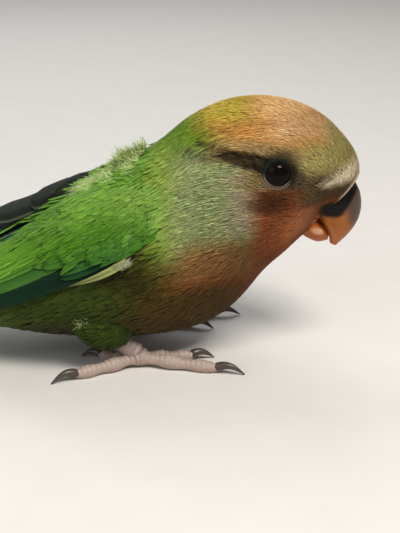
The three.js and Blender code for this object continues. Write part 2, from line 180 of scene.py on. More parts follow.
def lid_swell(at):
    """How the plumage rises, or sinks, to meet the lids round each eye."""
    moved = np.zeros_like(at)
    for centre, axes in eye_axes:
        local = (at - centre) @ axes
        far = np.hypot(local[..., 0], local[..., 1])
        share = (1 - ramp(far, LID_RADIUS, LID_RADIUS + LID_SLOPE)) * (local[..., 2] > 0)
        moved += (share * (LID_HEIGHT - local[..., 2]))[..., None] * axes[:, 2]
    return moved


def place_on(form, s, v, lift=0.0, aside=0.0, turn=True):
    """The place on a form at ring s and angle v, lift outside it. The angle is 0 on the form's top line, 90
    at its right side and 180 below."""
    s, v, lift = np.broadcast_arrays(np.asarray(s, float), np.asarray(v, float), np.asarray(lift, float))
    tx, tz, bx, bz, side, widest = np.moveaxis(between(form, s), -1, 0)
    cx, cz = bx + (tx - bx) * widest, bz + (tz - bz) * widest
    height = np.hypot(tx - bx, tz - bz)
    ux, uz = (tx - bx) / height, (tz - bz) / height
    cos, sin = np.cos(np.radians(v)), np.sin(np.radians(v))
    reach = np.maximum(np.where(cos > 0, height * (1 - widest), height * widest), 0.05)
    side = np.maximum(side, 0.05)
    out = np.stack([ux * cos / reach, -sin / side, uz * cos / reach], -1)
    out /= np.linalg.norm(out, axis=-1, keepdims=True)
    at = np.stack([cx + ux * reach * cos, aside - side * sin, cz + uz * reach * cos], -1)
    if form is not BODY:
        at = at + lift[..., None] * out
        return turned(at) if turn else at
    away = ((s - HOLLOW_RING) / HOLLOW_REACH[0]) ** 2 + ((from_top(v) - HOLLOW_ANGLE) / HOLLOW_REACH[1]) ** 2
    dent = HOLLOW_DEPTH * np.exp(-away) + FURROW_DEPTH * stroke(at[..., 0], at[..., 2], FURROW_LINE)
    skin = at - dent[..., None] * out
    at = skin + lift[..., None] * out
    return turned(at) + lid_swell(turned(skin)) if turn else at


def pace(form, s, v, aside=0.0):
    """How many millimetres a form covers for each ring, and for each degree, at s and v."""
    ring_step, angle_step = 0.1, 2.0
    here = place_on(form, s, v, 0, aside)
    behind = place_on(form, np.asarray(s) + ring_step, v, 0, aside)
    beside = place_on(form, s, np.asarray(v) + angle_step, 0, aside)
    back = np.linalg.norm(behind - here, axis=-1) / ring_step
    round_ = np.linalg.norm(beside - here, axis=-1) / angle_step
    return np.maximum(back, 0.3), np.maximum(round_, 0.02)


def eye_frame(side):
    """The eye's place and its three directions as columns: back along the head, up, and outwards."""
    forward, rise = math.radians(EYE_FORWARD), math.radians(EYE_UP)
    outward = Vector(
        (math.cos(rise) * math.sin(forward), side * math.cos(rise) * math.cos(forward), math.sin(rise))
    )
    up = Vector((0, 0, 1))
    up = (up - outward * up.dot(outward)).normalized()
    axes = Matrix((up.cross(outward) * side, up, outward)).transposed()
    turn = Matrix.Rotation(math.radians(HEAD_TURN), 3, "Z")
    pivot = Vector((TURN_FROM, 0, 0))
    centre = turn @ (Vector((EYE[0], side * EYE[1], EYE[2])) - pivot) + pivot
    return np.array(centre), np.array(turn @ axes)


eye_axes = [eye_frame(side) for side, _ in SIDES]
eye_low, eye_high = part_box("eye_left")
SHIFT = 500 * (eye_low[0] + eye_high[0]) - eye_frame(1)[0][0]  # from the bird's frame to the model's


def link_object(name, data):
    made = bpy.data.objects.new(name, data)
    bpy.context.collection.objects.link(made)
    return made


def add_piece(name, points, quads, triangles=(), finish=None, tones=None, maps=None):
    """A mesh from points in the bird's millimetres. A map has a value for each point or each corner."""
    points = np.asarray(points, float).reshape(-1, 3)
    faces = np.asarray(quads, int).reshape(-1, 4).tolist()
    faces += np.asarray(triangles, int).reshape(-1, 3).tolist()
    mesh = bpy.data.meshes.new(name)
    mesh.from_pydata(((points + [SHIFT, 0, 0]) / 1000).tolist(), [], faces)
    corners = np.empty(len(mesh.loops), int)
    mesh.loops.foreach_get("vertex_index", corners)
    for map_name, values in (maps or {}).items():
        values = np.asarray(values, float).reshape(-1, 2)
        layer = mesh.uv_layers.new(name=map_name)
        layer.uv.foreach_set("vector", (values if len(values) == len(corners) else values[corners]).ravel())
    if tones is not None:
        colours = np.ones((len(points), 4))
        colours[:, :3] = linear(np.asarray(tones, float).reshape(-1, 3))
        mesh.attributes.new("tone", "FLOAT_COLOR", "POINT").data.foreach_set("color", colours.ravel())
    mesh.polygons.foreach_set("use_smooth", np.full(len(mesh.polygons), True))
    if finish:
        mesh.materials.append(finish)
    return link_object(name, mesh)


def settle(piece, slot, *nodes):
    """Fixes a finished piece to the bird, in place of its solids."""
    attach(piece, "root")
    if nodes:
        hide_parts(*nodes)


def thicken(piece, millimetres):
    """Gives a sheet a thickness, inwards from its face."""
    solid = piece.modifiers.new("thickness", "SOLIDIFY")
    solid.thickness = millimetres / 1000
    solid.offset = -1


def face_outwards(piece):
    """Turns a closed piece's faces so that they point out of it."""
    mesh = piece.data
    mesh.calc_loop_triangles()
    volume = 0.0
    for triangle in mesh.loop_triangles:
        a, b, c = (mesh.vertices[i].co for i in triangle.vertices)
        volume += a.dot(b.cross(c))
    if volume < 0:
        mesh.flip_normals()


def grid_quads(rows, columns, closed=False):
    """The four-sided faces of a grid of points; closed joins the last column to the first."""
    i, j = np.meshgrid(np.arange(rows - 1), np.arange(columns if closed else columns - 1), indexing="ij")
    a, b = i * columns + j, i * columns + (j + 1) % columns
    return np.stack([a, a + columns, b + columns, b], -1).reshape(-1, 4)


def end_caps(rows, columns):
    """The triangles that close a grid's ends. The middles of its first and last rows follow its points."""
    j = np.arange(columns)
    k = (j + 1) % columns
    last_row = (rows - 1) * columns
    first = np.stack([np.full(columns, rows * columns), j, k], -1)
    last = np.stack([np.full(columns, rows * columns + 1), last_row + k, last_row + j], -1)
    return np.concatenate([first, last])


def round_angles(columns):
    return np.linspace(0, 360, columns, endpoint=False)


# Tones of the plumage, some of them darkened into painted shade and some lightened into painted highlight and
# sheen, as marked
def colour(red, green, blue):
    return np.array([red, green, blue], float) / 255


def linear(tone):
    tone = np.clip(tone, 0, 1)
    return np.where(tone <= 0.04045, tone / 12.92, ((tone + 0.055) / 1.055) ** 2.4)


NAPE = colour(98, 128, 30)
NECK_BAND = colour(122, 146, 56)
BACK = colour(84, 136, 28)
RUMP = colour(34, 128, 158)
# Painted shade: the flanks and the belly are darkened to a deep olive, standing for the shade they lie in
SHADED_FLANK = colour(49, 62, 15)
SHADED_BELLY = colour(41, 42, 9)
BREAST = colour(126, 66, 32)
VENT = colour(76, 94, 32)
CHEEK = colour(124, 134, 88)
CHEEK_FRONT = colour(144, 134, 108)
CHEEK_LOW = colour(120, 86, 50)
CROWN = colour(172, 122, 60)
CROWN_FRONT = colour(190, 150, 104)
# The crown's orange, lightened at its top by a painted highlight
CROWN_TOP_HIGHLIGHT = colour(212, 172, 116)
CROWN_REAR = colour(176, 156, 58)
FOREHEAD = colour(162, 148, 90)
LORES = colour(88, 70, 44)
BILL_EDGE = colour(226, 210, 182)
BROW = colour(146, 120, 76)
# Painted shade in the furrow over the eye
FURROW_SHADE = colour(26, 18, 8)
BEHIND_EYE = colour(132, 112, 70)
BEFORE_EYE = colour(52, 42, 30)
# Painted shadow below the eye, in brownish orange
UNDER_EYE_SHADOW = colour(76, 44, 24)
ROUND_EYE = colour(72, 60, 38)
FACE = colour(136, 75, 43)
FACE_PALE = colour(190, 122, 78)
# Painted shade: the breast below the face darkened to a deep brown
SHADED_LOW_BREAST = colour(72, 54, 20)
THROAT = colour(158, 86, 46)
# Painted shadow under the bend of the wing, over the olive down there
UNDER_WING_SHADOW = colour(42, 39, 10)
DOWN = colour(212, 224, 156)
WING = colour(64, 112, 18)
WING_TOP = colour(116, 164, 56)
WING_FAR = colour(96, 150, 34)
# Pale mint: the wings' pale tips, and their painted sheen along feather edges and in soft patches
SHOULDER = colour(128, 162, 70)
WING_PALE_SHEEN = colour(140, 184, 88)
WING_LOW = colour(46, 92, 34)
TEAL = colour(8, 44, 24)
FLIGHT = colour(20, 26, 16)
CREAM = colour(150, 156, 92)
TAIL = colour(76, 122, 44)
TAIL_RED = colour(196, 84, 40)
TAIL_BAR = colour(20, 22, 20)
AMBER_HORN = colour(154, 92, 40)
BLACK_HORN = colour(10, 6, 5)


def over(tone, other, share):
    """tone, with other painted over it by share."""
    return tone + (other - tone) * np.asarray(share)[..., None]


def painted(shape, base, coats):
    """A base tone with each of the coats, as (tone, share), painted over it in turn."""
    tone = np.broadcast_to(base, tuple(shape) + (3,))
    for other, share in coats:
        tone = over(tone, other, share)
    return tone


def patch(x, z, centre, reach, tilt=0.0, soft=0.35):
    """1 inside an oval of the side view and 0 outside it, soft at its edge."""
    cos, sin = math.cos(math.radians(tilt)), math.sin(math.radians(tilt))
    dx, dz = x - centre[0], z - centre[1]
    far = np.hypot((dx * cos + dz * sin) / reach[0], (dz * cos - dx * sin) / reach[1])
    return 1 - ramp(far, 1 - soft, 1 + soft)


def plumage(s, v):
    """The plumage's tone at ring s and angle v of the body, painted by its place in the side view; painted
    shade and shadow lie in the furrow, below the eye, under the wing and over the lower body, and a painted
    highlight on the crown's top.
    """
    x, y, z = np.moveaxis(place_on(BODY, s, v, turn=False), -1, 0)
    up = np.cos(np.radians(v))
    sway = 0.6 * np.sin(1.9 * z + 0.7 * x) + 0.4 * np.sin(3.1 * x - 1.3 * z)  # so that no edge is ruled
    x, z = x + 0.35 * sway, z + 0.25 * sway
    face = ramp(x, 36.4, 37.6) * ramp(z, 37.6, 36.2)
    edge = np.interp(x, [24, 28.4, 34.9, 40, 45.7, 50], [48.6, 46.9, 45.3, 44.6, 43.9, 43.2])
    crown = ramp(z, edge - 0.8, edge + 0.9) * ramp(x, 24.0, 27.0)
    streaks = 0.8 + 0.2 * np.sin(2.6 * (x + 1.3 * z) + 1.5 * np.sin(0.9 * x))
    coats = [
        # painted shade over the lower sides and the belly
        (SHADED_FLANK, ramp(up, 0.55, 0.25)),
        (SHADED_BELLY, ramp(up, -0.3, -0.75)),
        (VENT, ramp(x, -4, -14) * ramp(up, 0.0, -0.5)),
        (RUMP, ramp(x, -3, -9) * ramp(up, 0.1, 0.5)),
        (NAPE, ramp(x, 9, 16) * ramp(up, -0.25, 0.1)),
        (NECK_BAND, ramp(x, 13, 17) * ramp(x, 23, 19) * ramp(z, 24, 30) * ramp(z, 46, 40)),
        (BREAST, ramp(x, 15, 25) * ramp(z, 28, 20)),
        # painted shade on the lower breast
        (SHADED_LOW_BREAST, ramp(x, 40, 30) * ramp(z, 21.5, 16.5) * ramp(x, 8, 18)),
        # painted shadow under the bend of the wing
        (UNDER_WING_SHADOW, patch(x, z, (12.5, 23.5), (9.0, 4.5), -28, 0.5)),
        (CHEEK, ramp(x, 18.5, 23) * ramp(z, 21, 26) * ramp(z, 45.5, 42.5)),
        (CHEEK_LOW, ramp(x, 20, 26) * ramp(z, 30, 24) * ramp(z, 18, 22)),
        (CHEEK_FRONT, ramp(x, 29.5, 34.5) * ramp(z, 26, 31) * ramp(z, 42, 39)),
        (FACE, np.maximum(face * ramp(z, 14, 20), 0.7 * ramp(x, 32, 40) * ramp(z, 22, 17))),
        (THROAT, ramp(x, 39, 43) * ramp(z, 32, 27)),
        (FACE_PALE, patch(x, z, (45.2, 29.6), (3.8, 2.1), 48, 0.85)),
        (BROW, ramp(z, 40.6, 42.4) * ramp(x, 26, 32) * ramp(x, 48, 45)),
        (CROWN, crown),
        (CROWN_FRONT, crown * ramp(x, 36, 42) * ramp(z, 43.5, 46)),
        # painted highlight on the crown's top
        (CROWN_TOP_HIGHLIGHT, crown * ramp(x, 34, 39) * ramp(z, 48.2, 50.4)),
        (CROWN_REAR, crown * ramp(x, 38, 33) * ramp(z, 46.9, 49.6)),
        (FOREHEAD, ramp(x, 48.2, 51.2) * ramp(z, 37, 39.5)),
        (FOREHEAD, ramp(x, 43.5, 46.5) * ramp(z, 37.5, 40) * ramp(z, 45.2, 42.6)),
        (LORES, ramp(x, 43.5, 46.5) * ramp(z, 32.0, 34.4) * ramp(z, 40, 37.4)),
        (BILL_EDGE, np.clip(1.5 * stroke(x, z, BILL_EDGE_LINE), 0, 1)),
        (ROUND_EYE, patch(x, z, (40.6, 40.2), (3.6, 3.0), 0, 0.35)),
        (BEHIND_EYE, patch(x, z, (36.2, 38.6), (1.4, 2.3), -8)),
        # painted shadow below the eye
        (UNDER_EYE_SHADOW, patch(x, z, (39.8, 34.4), (3.6, 2.2), 8, 0.5)),
        (BEFORE_EYE, patch(x, z, (43.4, 38.8), (1.7, 2.4), 0, 0.5)),
        # painted shade along the furrow over the eye, in streaks
        (FURROW_SHADE, streaks * np.clip(1.6 * stroke(x, z, FURROW_LINE), 0, 1)),
    ]
    return painted(x.shape, BACK, coats)


# Feathers
def scatter(form, rings, angles, spacing, seed, aside=0.0):
    """Roots spread evenly over a stretch of a form, none nearer to another than the spacing wanted there."""
    draw = np.random.default_rng(seed)
    ring_cells, angle_cells, tries = 120, 180, 5
    ring_step, angle_step = (rings[1] - rings[0]) / ring_cells, (angles[1] - angles[0]) / angle_cells
    ring_middles = np.linspace(*rings, ring_cells + 1)[:-1] + ring_step / 2
    angle_middles = np.linspace(*angles, angle_cells + 1)[:-1] + angle_step / 2
    cell_s, cell_v = (a.ravel() for a in np.meshgrid(ring_middles, angle_middles, indexing="ij"))
    back, round_ = pace(form, cell_s, cell_v, aside)
    weight = back * round_ * ring_step * angle_step / spacing(cell_s, cell_v) ** 2
    pick = draw.choice(len(weight), int(tries * weight.sum()), p=weight / weight.sum())
    s = cell_s[pick] + (draw.random(len(pick)) - 0.5) * ring_step
    v = cell_v[pick] + (draw.random(len(pick)) - 0.5) * angle_step
    near = spacing(s, v)
    at = place_on(form, s, v, 0, aside)
    cells, kept = {}, []
    keys = np.floor(at / near.max()).astype(int).tolist()
    for i, ((a, b, c), p, r) in enumerate(zip(keys, at.tolist(), near.tolist())):
        if all(
            (p[0] - q[0]) ** 2 + (p[1] - q[1]) ** 2 + (p[2] - q[2]) ** 2 > r * r
            for da in (-1, 0, 1)
            for db in (-1, 0, 1)
            for dc in (-1, 0, 1)
            for q in cells.get((a + da, b + db, c + dc), ())
        ):
            cells.setdefault((a, b, c), []).append(p)
            kept.append(i)
    return s[kept], v[kept]


def evenly(spacing):
    return lambda s, v: np.full(np.shape(s), spacing)


def paths(form, s, v, length, heading, rows, aside=0.0, bend=0.0):
    """Middle lines of feathers: each runs back from its root for its length, heading degrees below the form's
    own line, and bends by bend more degrees on its way."""
    down = np.where(np.sin(np.radians(v)) >= 0, 1.0, -1.0)
    line_s, line_v = [np.array(s, float)], [np.array(v, float)]
    step = length / (rows - 1)
    for i in range(rows - 1):
        back, round_ = pace(form, line_s[-1], line_v[-1], aside)
        angle = np.radians(heading + bend * i / (rows - 1))
        line_s.append(line_s[-1] + step * np.cos(angle) / back)
        line_v.append(line_v[-1] + down * step * np.sin(angle) / round_)
    return np.stack(line_s, 1), np.stack(line_v, 1)


def vanes(form, s, v, lift, half, shape, spread, cup=0.12, aside=0.0, tilt=0.0):
    """Vanes about middle lines of ring s, angle v and lift, each an array of feathers by rows. spread lists
    the columns from one edge, -1, to the other, 1. Gives the points and their places on the vane in mm."""
    back, round_ = pace(form, s, v, aside)
    along_s, along_v = np.gradient(s, axis=1) * back, np.gradient(v, axis=1) * round_
    size = np.maximum(np.hypot(along_s, along_v), 1e-6)
    along_s, along_v = along_s / size, along_v / size
    half, spread = np.asarray(half)[:, None, None], np.asarray(spread)[None, None, :]
    across = half * np.asarray(shape)[None, :, None] * spread
    at_s = s[..., None] - along_v[..., None] * across / back[..., None]
    at_v = v[..., None] + along_s[..., None] * across / round_[..., None]
    up = np.asarray(lift)[..., None] - cup * half * np.abs(spread) ** 2
    points = place_on(form, at_s, at_v, up + tilt * across, aside)
    steps = np.linalg.norm(np.diff(points[:, :, spread.size // 2], axis=1), axis=-1)
    far = np.concatenate([np.zeros((len(s), 1)), np.cumsum(steps, 1)], 1)
    return points, np.stack([across, np.broadcast_to(far[..., None], across.shape)], -1)


def feather_tones(root, tip, rows, columns, edge=None, edge_share=0.0, power=1.0):
    """Tones over each feather, from root to tip, with another tone along its edges. root and tip may be given
    for each feather, or for each of its rows."""
    t = (np.linspace(0, 1, rows) ** power)[None, :, None, None]
    if root.ndim == 3:
        tones = root[:, :, None, :] * (1 - t) + tip[:, :, None, :] * t
        return np.broadcast_to(tones, tones.shape[:2] + (columns, 3))
    tones = root[:, None, None, :] * (1 - t) + tip[:, None, None, :] * t
    tones = np.broadcast_to(tones, (len(root), rows, columns, 3)).copy()
    if edge is not None:
        k = np.abs(np.linspace(-1, 1, columns))[None, None, :, None] ** 2
        tones += (edge[:, None, None, :] - tones) * edge_share * k * (0.3 + 0.7 * t)
    return tones


def batch_of(points, vane, tones, s, v, rings=16.0, turn=360.0):
    """Feathers made alike, ready to be joined. Each has its own small patch of the map for baking, at its
    root's place, ring s and angle v, on a form laid flat that has so many rings and degrees."""
    patch_size = 0.003
    rows, columns = points.shape[1:3]
    u0 = 0.01 + 0.98 * np.clip(np.asarray(s) / rings, 0, 1)
    v0 = 0.01 + 0.98 * (np.asarray(v) % turn) / turn
    k, t = np.meshgrid(np.linspace(-0.5, 0.5, columns), np.linspace(-0.5, 0.5, rows))
    bake = np.stack([u0[:, None, None] + patch_size * t[None], v0[:, None, None] + patch_size * k[None]], -1)
    return {"points": points, "vane": vane, "tones": tones, "bake": bake}


def join_batches(name, batches, finish):
    """One piece from batches of feathers."""
    quads, shifted, start = [], [], 0
    for batch in batches:
        n, rows, columns, _ = batch["points"].shape
        starts = start + rows * columns * np.arange(n)
        quads.append((grid_quads(rows, columns)[None] + starts[:, None, None]).reshape(-1, 4))
        shifted.append((batch["vane"] + chance.random(n)[:, None, None, None] * 40).reshape(-1, 2))
        start += n * rows * columns
    joined = {}
    for key, first in batches[0].items():
        joined[key] = np.concatenate([batch[key].reshape(-1, first.shape[-1]) for batch in batches])
    maps = {"OFBake": joined["bake"], "Vane": joined["vane"], "VaneShifted": np.concatenate(shifted)}
    return add_piece(name, joined["points"], np.concatenate(quads), (), finish, joined["tones"], maps)


# Finishes
def add_node(tree, kind, inputs=None, **settings):
    made = tree.nodes.new(kind)
    for key, value in settings.items():
        setattr(made, key, value)
    for key, value in (inputs or {}).items():
        if isinstance(value, bpy.types.NodeSocket):
            tree.links.new(value, made.inputs[key])
        else:
            made.inputs[key].default_value = value
    return made


def calc(tree, operation, *values):
    return add_node(tree, "ShaderNodeMath", dict(enumerate(values)), operation=operation).outputs[0]


def new_finish(name, **fixed):
    """A finish and its tree and surface; fixed are the surface's own constant values."""
    finish = bpy.data.materials.new(name)
    finish.use_nodes = True
    tree = finish.node_tree
    surface = tree.nodes["Principled BSDF"]
    for key, value in fixed.items():
        surface.inputs[key.replace("_", " ")].default_value = value
    return finish, tree, surface


def noise(tree, where, scale, detail, **more):
    inputs = {"Vector": where, "Scale": scale, "Detail": detail, **more}
    return add_node(tree, "ShaderNodeTexNoise", inputs).outputs["Fac"]


def varied(tree, grain, depth):
    """A grain as a factor for a tone: 1 on average, and depth more or less at its extremes."""
    return calc(tree, "MULTIPLY_ADD", calc(tree, "SUBTRACT", grain, 0.5), 2 * depth, 1.0)


def dress(tree, surface, factor, grain, least, swing, lift, strength):
    """Gives a surface the tone painted on its piece, times a factor, and a grain in its relief and its
    roughness, which swings that far up from its least."""
    tone = add_node(tree, "ShaderNodeAttribute", attribute_name="tone").outputs["Color"]
    scaled = add_node(tree, "ShaderNodeVectorMath", {0: tone, "Scale": factor}, operation="SCALE").outputs[0]
    bump = add_node(tree, "ShaderNodeBump", {"Height": grain, "Distance": lift, "Strength": strength})
    tree.links.new(scaled, surface.inputs["Base Color"])
    tree.links.new(calc(tree, "MULTIPLY_ADD", grain, swing, least), surface.inputs["Roughness"])
    tree.links.new(bump.outputs[0], surface.inputs["Normal"])


def feather_finish(name, barb=2.6, depth=0.35, lift=0.00006, shaft=0.0, sheen=0.03, rough=0.62):
    """Feather: fine barbs that slant from the shaft, in streaks of light and dark, with a soft sheen."""
    finish, tree, surface = new_finish(name, Specular_IOR_Level=0.1, Sheen_Weight=sheen, Sheen_Roughness=0.45)
    maps = [add_node(tree, "ShaderNodeUVMap", uv_map=name).outputs[0] for name in ("Vane", "VaneShifted")]
    own, shifted = (add_node(tree, "ShaderNodeSeparateXYZ", {0: place}) for place in maps)
    from_shaft = calc(tree, "ABSOLUTE", own.outputs[0])
    slanted = calc(tree, "SUBTRACT", shifted.outputs[1], calc(tree, "MULTIPLY", from_shaft, 1.25))
    along, across = calc(tree, "MULTIPLY", slanted, barb), calc(tree, "MULTIPLY", shifted.outputs[0], 0.55)
    where = add_node(tree, "ShaderNodeCombineXYZ", {0: along, 1: across}).outputs[0]
    streak = noise(tree, where, 1.6, 3.0, Roughness=0.6)
    factor = varied(tree, streak, depth)
    if shaft:
        near = calc(tree, "SUBTRACT", 1.0, calc(tree, "MULTIPLY", from_shaft, 1 / shaft))
        line = calc(tree, "MULTIPLY", calc(tree, "MAXIMUM", near, 0.0), 0.45)
        factor = calc(tree, "SUBTRACT", factor, line)
    dress(tree, surface, factor, streak, rough - 0.12, 0.25, lift, 0.8)
    return finish


def mottled_finish(name, scale=900.0, depth=0.25, lift=0.00004, rough=0.6, **fixed):
    """Skin or horn in the tone painted on the piece, mottled and finely rough."""
    finish, tree, surface = new_finish(name, **fixed)
    where = add_node(tree, "ShaderNodeTexCoord").outputs["Object"]
    grain = noise(tree, where, scale, 4.0, Roughness=0.6)
    dress(tree, surface, varied(tree, grain, depth), grain, rough - 0.1, 0.2, lift, 0.7)
    return finish


head_plume = feather_finish("head plume", barb=3.4, depth=0.3, lift=0.00004)
body_plume = feather_finish("body plume", barb=2.4, depth=0.32)
wing_plume = feather_finish("wing plume", barb=2.0, depth=0.3, shaft=0.22, rough=0.52)
flight_plume = feather_finish("flight plume", barb=1.8, depth=0.26, shaft=0.3, rough=0.45)
tail_plume = feather_finish("tail plume", barb=1.8, depth=0.26, shaft=0.35, rough=0.48)
down_plume = feather_finish("down plume", barb=2.0, depth=0.15, sheen=0.15, rough=0.75)
skin_finish = mottled_finish("feathered skin", scale=1500, depth=0.3, rough=0.75)
bill_finish = mottled_finish(
    "bill horn", 500, 0.14, 0.00002, 0.42, Specular_IOR_Level=0.14, Coat_Weight=0.05, Coat_Roughness=0.2
)
lid_finish = mottled_finish("eyelid skin", 1800, 0.2, 0.00005, 0.55, Specular_IOR_Level=0.2)
foot_finish = mottled_finish("foot skin", scale=1300, depth=0.22, lift=0.00005, rough=0.58)
scute_finish = new_finish("horny plate", Base_Color=(0.42, 0.33, 0.28, 1), Roughness=0.5)[0]
claw_finish = mottled_finish("claw horn", scale=900, depth=0.2, lift=0.00002, rough=0.35)
eye_finish = mottled_finish(
    "dark eye", 1500, 0.1, 0.0000005, 0.1, Specular_IOR_Level=0.0, Coat_Weight=0.16, Coat_Roughness=0.02
)


# The skin under the plumage
def closed_form(form, s_values, columns, lift, aside=0.0):
    """Points and faces of a closed form, its ends drawn together to a point, and its flat map."""
    rows = len(s_values)
    grid = place_on(form, s_values[:, None], round_angles(columns)[None, :], lift, aside)
    points = np.concatenate([grid.reshape(-1, 3), [grid[0].mean(0)], [grid[-1].mean(0)]])
    u = 0.01 + 0.98 * (s_values - s_values[0]) / (s_values[-1] - s_values[0])
    v = 0.01 + 0.98 * np.linspace(0, 1, columns + 1)
    i, j = np.meshgrid(np.arange(rows - 1), np.arange(columns), indexing="ij")
    flat = [np.stack([np.stack([u[i + a], v[j + b]], -1) for a, b in ((0, 0), (1, 0), (1, 1), (0, 1))], 2)]
    low, high, middle = v[:-1], v[1:], v[:-1] + 0.5 / columns
    for end, order in ((u[0], (middle, low, high)), (u[-1], (middle, high, low))):
        around = np.stack(order, 1).ravel()
        flat.append(np.stack([np.full(len(around), end), around], -1))
    flat = np.concatenate([part.reshape(-1, 2) for part in flat])
    return points, grid_quads(rows, columns, closed=True), end_caps(rows, columns), flat


def make_skin():
    columns, shade, end_shade = 144, 0.85, 0.6
    s_values = np.linspace(0.0, 16.0, 161)
    points, quads, ends, flat = closed_form(BODY, s_values, columns, -COAT)
    tone = plumage(s_values[:, None], round_angles(columns)[None, :]).reshape(-1, 3) * shade
    tone = np.concatenate([tone, [FACE * end_shade], [VENT * end_shade]])
    skin = add_piece("skin", points, quads, ends, skin_finish, tone, {"OFBake": flat})
    face_outwards(skin)
    settle(skin, "body", "head", "neck", "torso")
    for side, word in SIDES:
        s_values = np.linspace(0, len(THIGH) - 1, 25)
        points, quads, ends, flat = closed_form(THIGH, s_values, 40, -THIGH_COAT, side * THIGH_ASIDE)
        tone = np.broadcast_to(SHADED_FLANK * 0.75, points.shape)
        thigh = add_piece(f"thigh_skin_{word}", points, quads, ends, skin_finish, tone, {"OFBake": flat})
        face_outwards(thigh)
        settle(thigh, "body", f"thigh_{word}")


# The coat. Its feathers part round each eye: COMB is what stays free about the eye's middle. None has its
# root or its tip nearer than the next two, and they grow to their full size over the last stretch.
COMB = 2.35
ROOT_FROM_EYE, TIP_FROM_EYE = 1.95, 1.4
FULL_FROM_EYE = (2.4, 6.0)
CERE_RING, CERE_ANGLE = 0.72, 66.0  # the bare rim above the bill


def from_eyes(places):
    """How far places are from the line that the nearer eye looks along."""
    far = []
    for centre, axes in eye_axes:
        local = (places - centre) @ axes
        far.append(np.where(local[..., 2] > -1.5, np.hypot(local[..., 0], local[..., 1]), 99))
    return np.minimum(*far)


def comb_round_eyes(points):
    """Bends feathers that would cross an eye round it."""
    for centre, axes in eye_axes:
        local = (points - centre) @ axes
        far = np.hypot(local[..., 0], local[..., 1])
        close = (local[..., 2] > -1) & (far < 10)
        local[..., :2] *= np.where(close, (far**4 + COMB**4) ** 0.25 / np.maximum(far, 0.01), 1)[..., None]
        points = local @ axes.T + centre
    return points


def lay_coat(
    name, rings, angles, spacing, length, width, seed, shape, spread, finish, slot, heading, rise, shade,
    vary=0.07, stray=6,
):
    """A stretch of the plumage: small feathers over the body's form, in the tones painted there. They vary in
    tone by vary, and stray from the heading by so many degrees."""
    s, v = scatter(BODY, rings, angles, spacing, seed)
    v = v % 360
    draw = np.random.default_rng(seed + 1)
    n, rows, columns = len(s), len(shape), len(spread)
    eye_far = from_eyes(place_on(BODY, s, v))
    clear = ramp(eye_far, *FULL_FROM_EYE)
    long_ = length(s, v) * (0.8 + 0.4 * draw.random(n)) * (0.45 + 0.55 * clear)
    line_s, line_v = paths(BODY, s, v, long_, draw.normal(0, stray, n) + heading(s, v), rows, bend=8)
    t = np.linspace(0, 1, rows)[None, :]
    tips = rise(s, v) * (0.7 + 0.6 * draw.random(n)) * (0.3 + 0.7 * clear)
    lift = -COAT * (1 - t) ** 1.5 + tips[:, None] * t
    half = width(s, v) * (0.85 + 0.3 * draw.random(n)) * (0.7 + 0.3 * clear)
    points, vane = vanes(BODY, line_s, line_v, lift, half, shape, spread)
    tip_far = from_eyes(points[:, -1, columns // 2])
    bare = (s < CERE_RING) & (from_top(v) < CERE_ANGLE)
    free = (tip_far > TIP_FROM_EYE) & (eye_far > ROOT_FROM_EYE) & ~bare
    points, vane, s, v = comb_round_eyes(points[free]), vane[free], s[free], v[free]
    tone = 0.5 * plumage(s, v)[:, None] + 0.5 * plumage(line_s[free], line_v[free])
    tone = tone * (1 + vary * draw.normal(0, 1, (len(s), 1, 1)))
    tone = tone * (1 + 0.02 * draw.normal(0, 1, (len(s), 1, 3)))
    tones = feather_tones(tone * shade[0], tone * shade[1], rows, columns, power=0.6)
    settle(join_batches(name, [batch_of(points, vane, tones, s, v)], finish), slot)


# A feather's half width from root to tip, as shares of its widest, and where its columns lie across it
leaf = (0.45, 0.95, 1.0, 0.72, 0.18)
narrow_leaf = (0.4, 0.9, 0.85, 0.5, 0.08)
wisp = (0.8, 1.0, 0.7, 0.15)
two_edges = (-1, 1)
three_columns = (-1, 0, 1)
five_columns = (-1, -0.5, 0, 0.5, 1)


def by_ring(*values):
    """A size that changes along the body, given at nine of its rings from the bill to the tail."""
    return lambda s, v: np.interp(s, [0, 1, 2.5, 4, 6, 8, 10, 12, 16], values)


coat_length = by_ring(0.9, 1.15, 1.6, 2.2, 2.8, 3.6, 4.4, 5.0, 5.6)
coat_width = by_ring(0.12, 0.135, 0.15, 0.17, 0.2, 0.32, 0.62, 0.85, 0.95)
coat_spacing = by_ring(0.21, 0.215, 0.23, 0.25, 0.275, 0.4, 0.64, 0.8, 0.9)
coat_even_rise = by_ring(0.04, 0.04, 0.05, 0.06, 0.08, 0.14, 0.25, 0.28, 0.3)
wisp_width = by_ring(0.035, 0.035, 0.04, 0.045, 0.055, 0.07, 0.09, 0.11, 0.11)


def coat_heading(s, v):
    """Degrees that the feathers turn down from the form's own line. The cheek's lie level, so turn up."""
    beside = from_top(v)
    return -30 * ramp(s, 3.2, 5.5) * ramp(s, 9.6, 7.6) * ramp(beside, 40, 62) * ramp(beside, 150, 105)


def coat_rise(s, v):
    """How far the tips stand off: more where the neck's feathers fall over the wing's shoulder, and less than
    nothing where the folded wing presses them flat."""
    beside = from_top(v)
    shoulder = ramp(s, 8.2, 9.3) * ramp(beside, 8, 22) * ramp(beside, 84, 70)
    pressed = ramp(s, 10.2, 10.9) * ramp(beside, 18, 28) * ramp(beside, 90, 82)
    return coat_even_rise(s, v) + 0.9 * shoulder - 0.6 * pressed


def scaled(size, factor):
    return lambda s, v: factor * size(s, v)


